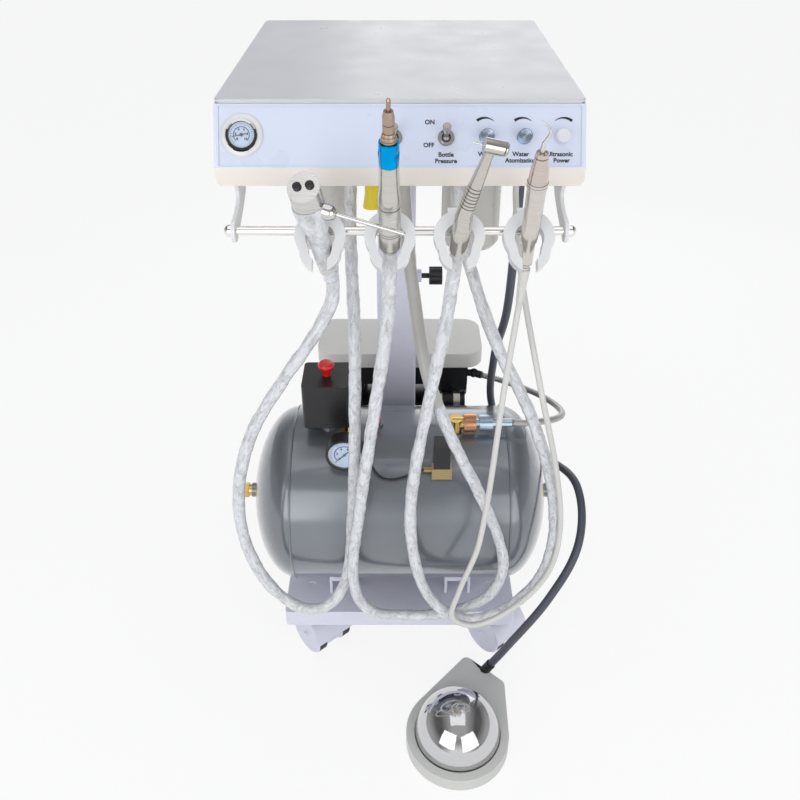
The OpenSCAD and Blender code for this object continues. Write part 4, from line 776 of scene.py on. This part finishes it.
weldBead = {"x": 155, "y": 100, "z": 263, "radius": 130, "bead": 1.7}
for side in (-1, 1):
    mesh = bmesh.new()
    ring = bmesh.ops.create_circle(mesh, segments=8, radius=weldBead["bead"] / 1000,
                                   matrix=Matrix.Translation((0, weldBead["radius"] / 1000, 0)))["verts"]
    edges = list({e for v in ring for e in v.link_edges})
    bmesh.ops.spin(mesh, geom=ring + edges, cent=(0, 0, 0), axis=(1, 0, 0), angle=2 * math.pi,
                   steps=180, use_merge=True)
    bmesh.ops.remove_doubles(mesh, verts=mesh.verts, dist=1e-6)
    for v in mesh.verts:
        around = math.atan2(v.co.z, v.co.y)
        v.co.x += 0.0004 * noise.noise(Vector((around * 40, side * 9, 0)))
    bmesh.ops.recalc_face_normals(mesh, faces=mesh.faces)
    made = meshObject("weldBeadLeft" if side < 0 else "weldBeadRight", mesh, finish["tankGrey"])
    for face in made.data.polygons:
        face.use_smooth = True
    spot = Matrix.Translation(place(side * weldBead["x"], weldBead["y"], weldBead["z"]))
    finishPiece(made, "cart", spot)
print("weld beads made")

# ---- floor, background and lamps

mesh = bmesh.new()
bmesh.ops.create_grid(mesh, x_segments=1, y_segments=1, size=12)
floor = meshObject("floor", mesh)
floorLook = {"colour": (0.9, 0.9, 0.9, 1), "glow": 0.86}
floorMaterial, tree, shader = newMaterial("floorPaper")
shader.inputs["Base Color"].default_value = floorLook["colour"]
shader.inputs["Roughness"].default_value = 1
glow = addNode(tree, "ShaderNodeEmission")
rays = addNode(tree, "ShaderNodeLightPath")
mix = addNode(tree, "ShaderNodeMixShader")
seen = addNode(tree, "ShaderNodeMath", operation="MAXIMUM")
shown = addNode(tree, "ShaderNodeMath", operation="MULTIPLY")
shown.inputs[1].default_value = floorLook["glow"]
tree.links.new(rays.outputs["Is Camera Ray"], seen.inputs[0])
tree.links.new(rays.outputs["Is Glossy Ray"], seen.inputs[1])
tree.links.new(seen.outputs[0], shown.inputs[0])
tree.links.new(shown.outputs[0], mix.inputs["Fac"])
tree.links.new(shader.outputs["BSDF"], mix.inputs[1])
tree.links.new(glow.outputs["Emission"], mix.inputs[2])
tree.links.new(mix.outputs["Shader"], tree.nodes["Material Output"].inputs["Surface"])
floor.data.materials.append(floorMaterial)

worldLook = {"colour": (0.92, 0.95, 1, 1), "strength": 0.52}
world = bpy.data.worlds.new("studio")
world.use_nodes = True
scene.world = world
tree = world.node_tree
soft = tree.nodes["Background"]
soft.inputs["Color"].default_value = worldLook["colour"]
soft.inputs["Strength"].default_value = worldLook["strength"]
white = addNode(tree, "ShaderNodeBackground")
white.inputs["Color"].default_value = (1, 1, 1, 1)
rays = addNode(tree, "ShaderNodeLightPath")
# reflections see the same white room, shaded towards its ceiling and side walls
facing = addNode(tree, "ShaderNodeTexCoord")
ways = addNode(tree, "ShaderNodeSeparateXYZ")
tree.links.new(facing.outputs["Generated"], ways.inputs["Vector"])
ceiling = rampBetween(tree, ways.outputs["Z"], [(0.0, (1, 1, 1)), (0.18, (0.95,) * 3),
                                                (0.5, (0.34,) * 3), (0.8, (0.5,) * 3)])
walls = rampBetween(tree, mathNode(tree, "ABSOLUTE", ways.outputs["X"]),
                    [(0.3, (1, 1, 1)), (0.72, (0.28,) * 3), (1.0, (0.5,) * 3)])
room = mathNode(tree, "MULTIPLY", ceiling.outputs["Color"], walls.outputs["Color"])
unlessGlossy = mathNode(tree, "SUBTRACT", 1.0, rays.outputs["Is Glossy Ray"])
tree.links.new(mathNode(tree, "MAXIMUM", room, unlessGlossy), white.inputs["Strength"])
either = addNode(tree, "ShaderNodeMath", operation="MAXIMUM")
third = addNode(tree, "ShaderNodeMath", operation="MAXIMUM")
tree.links.new(rays.outputs["Is Camera Ray"], either.inputs[0])
tree.links.new(rays.outputs["Is Glossy Ray"], either.inputs[1])
tree.links.new(either.outputs[0], third.inputs[0])
tree.links.new(rays.outputs["Is Transmission Ray"], third.inputs[1])
blendWorld = addNode(tree, "ShaderNodeMixShader")
tree.links.new(third.outputs[0], blendWorld.inputs["Fac"])
tree.links.new(soft.outputs[0], blendWorld.inputs[1])
tree.links.new(white.outputs[0], blendWorld.inputs[2])
tree.links.new(blendWorld.outputs[0], tree.nodes["World Output"].inputs["Surface"])

lamps = {
    "keyLamp": {"at": (-800, -1500, 1000), "size": 1.3, "power": 9.6},
    "fillLamp": {"at": (900, -1500, 850), "size": 1.3, "power": 7.5},
    "topLamp": {"at": (0, -100, 2300), "size": 1.6, "power": 5.6},
    "rearLamp": {"at": (500, 1700, 1100), "size": 1.4, "power": 5},
}
lampAim = place(0, 60, 500)
for name, lamp in lamps.items():
    data = bpy.data.lights.new(name, "AREA")
    data.energy = lamp["power"]
    data.size = lamp["size"]
    made = bpy.data.objects.new(name, data)
    made.location = place(*lamp["at"])
    aim = lampAim - made.location
    made.rotation_euler = aim.to_track_quat("-Z", "Y").to_euler()
    scene.collection.objects.link(made)
scene.view_settings.view_transform = "Standard"
print("floor and lamps made")
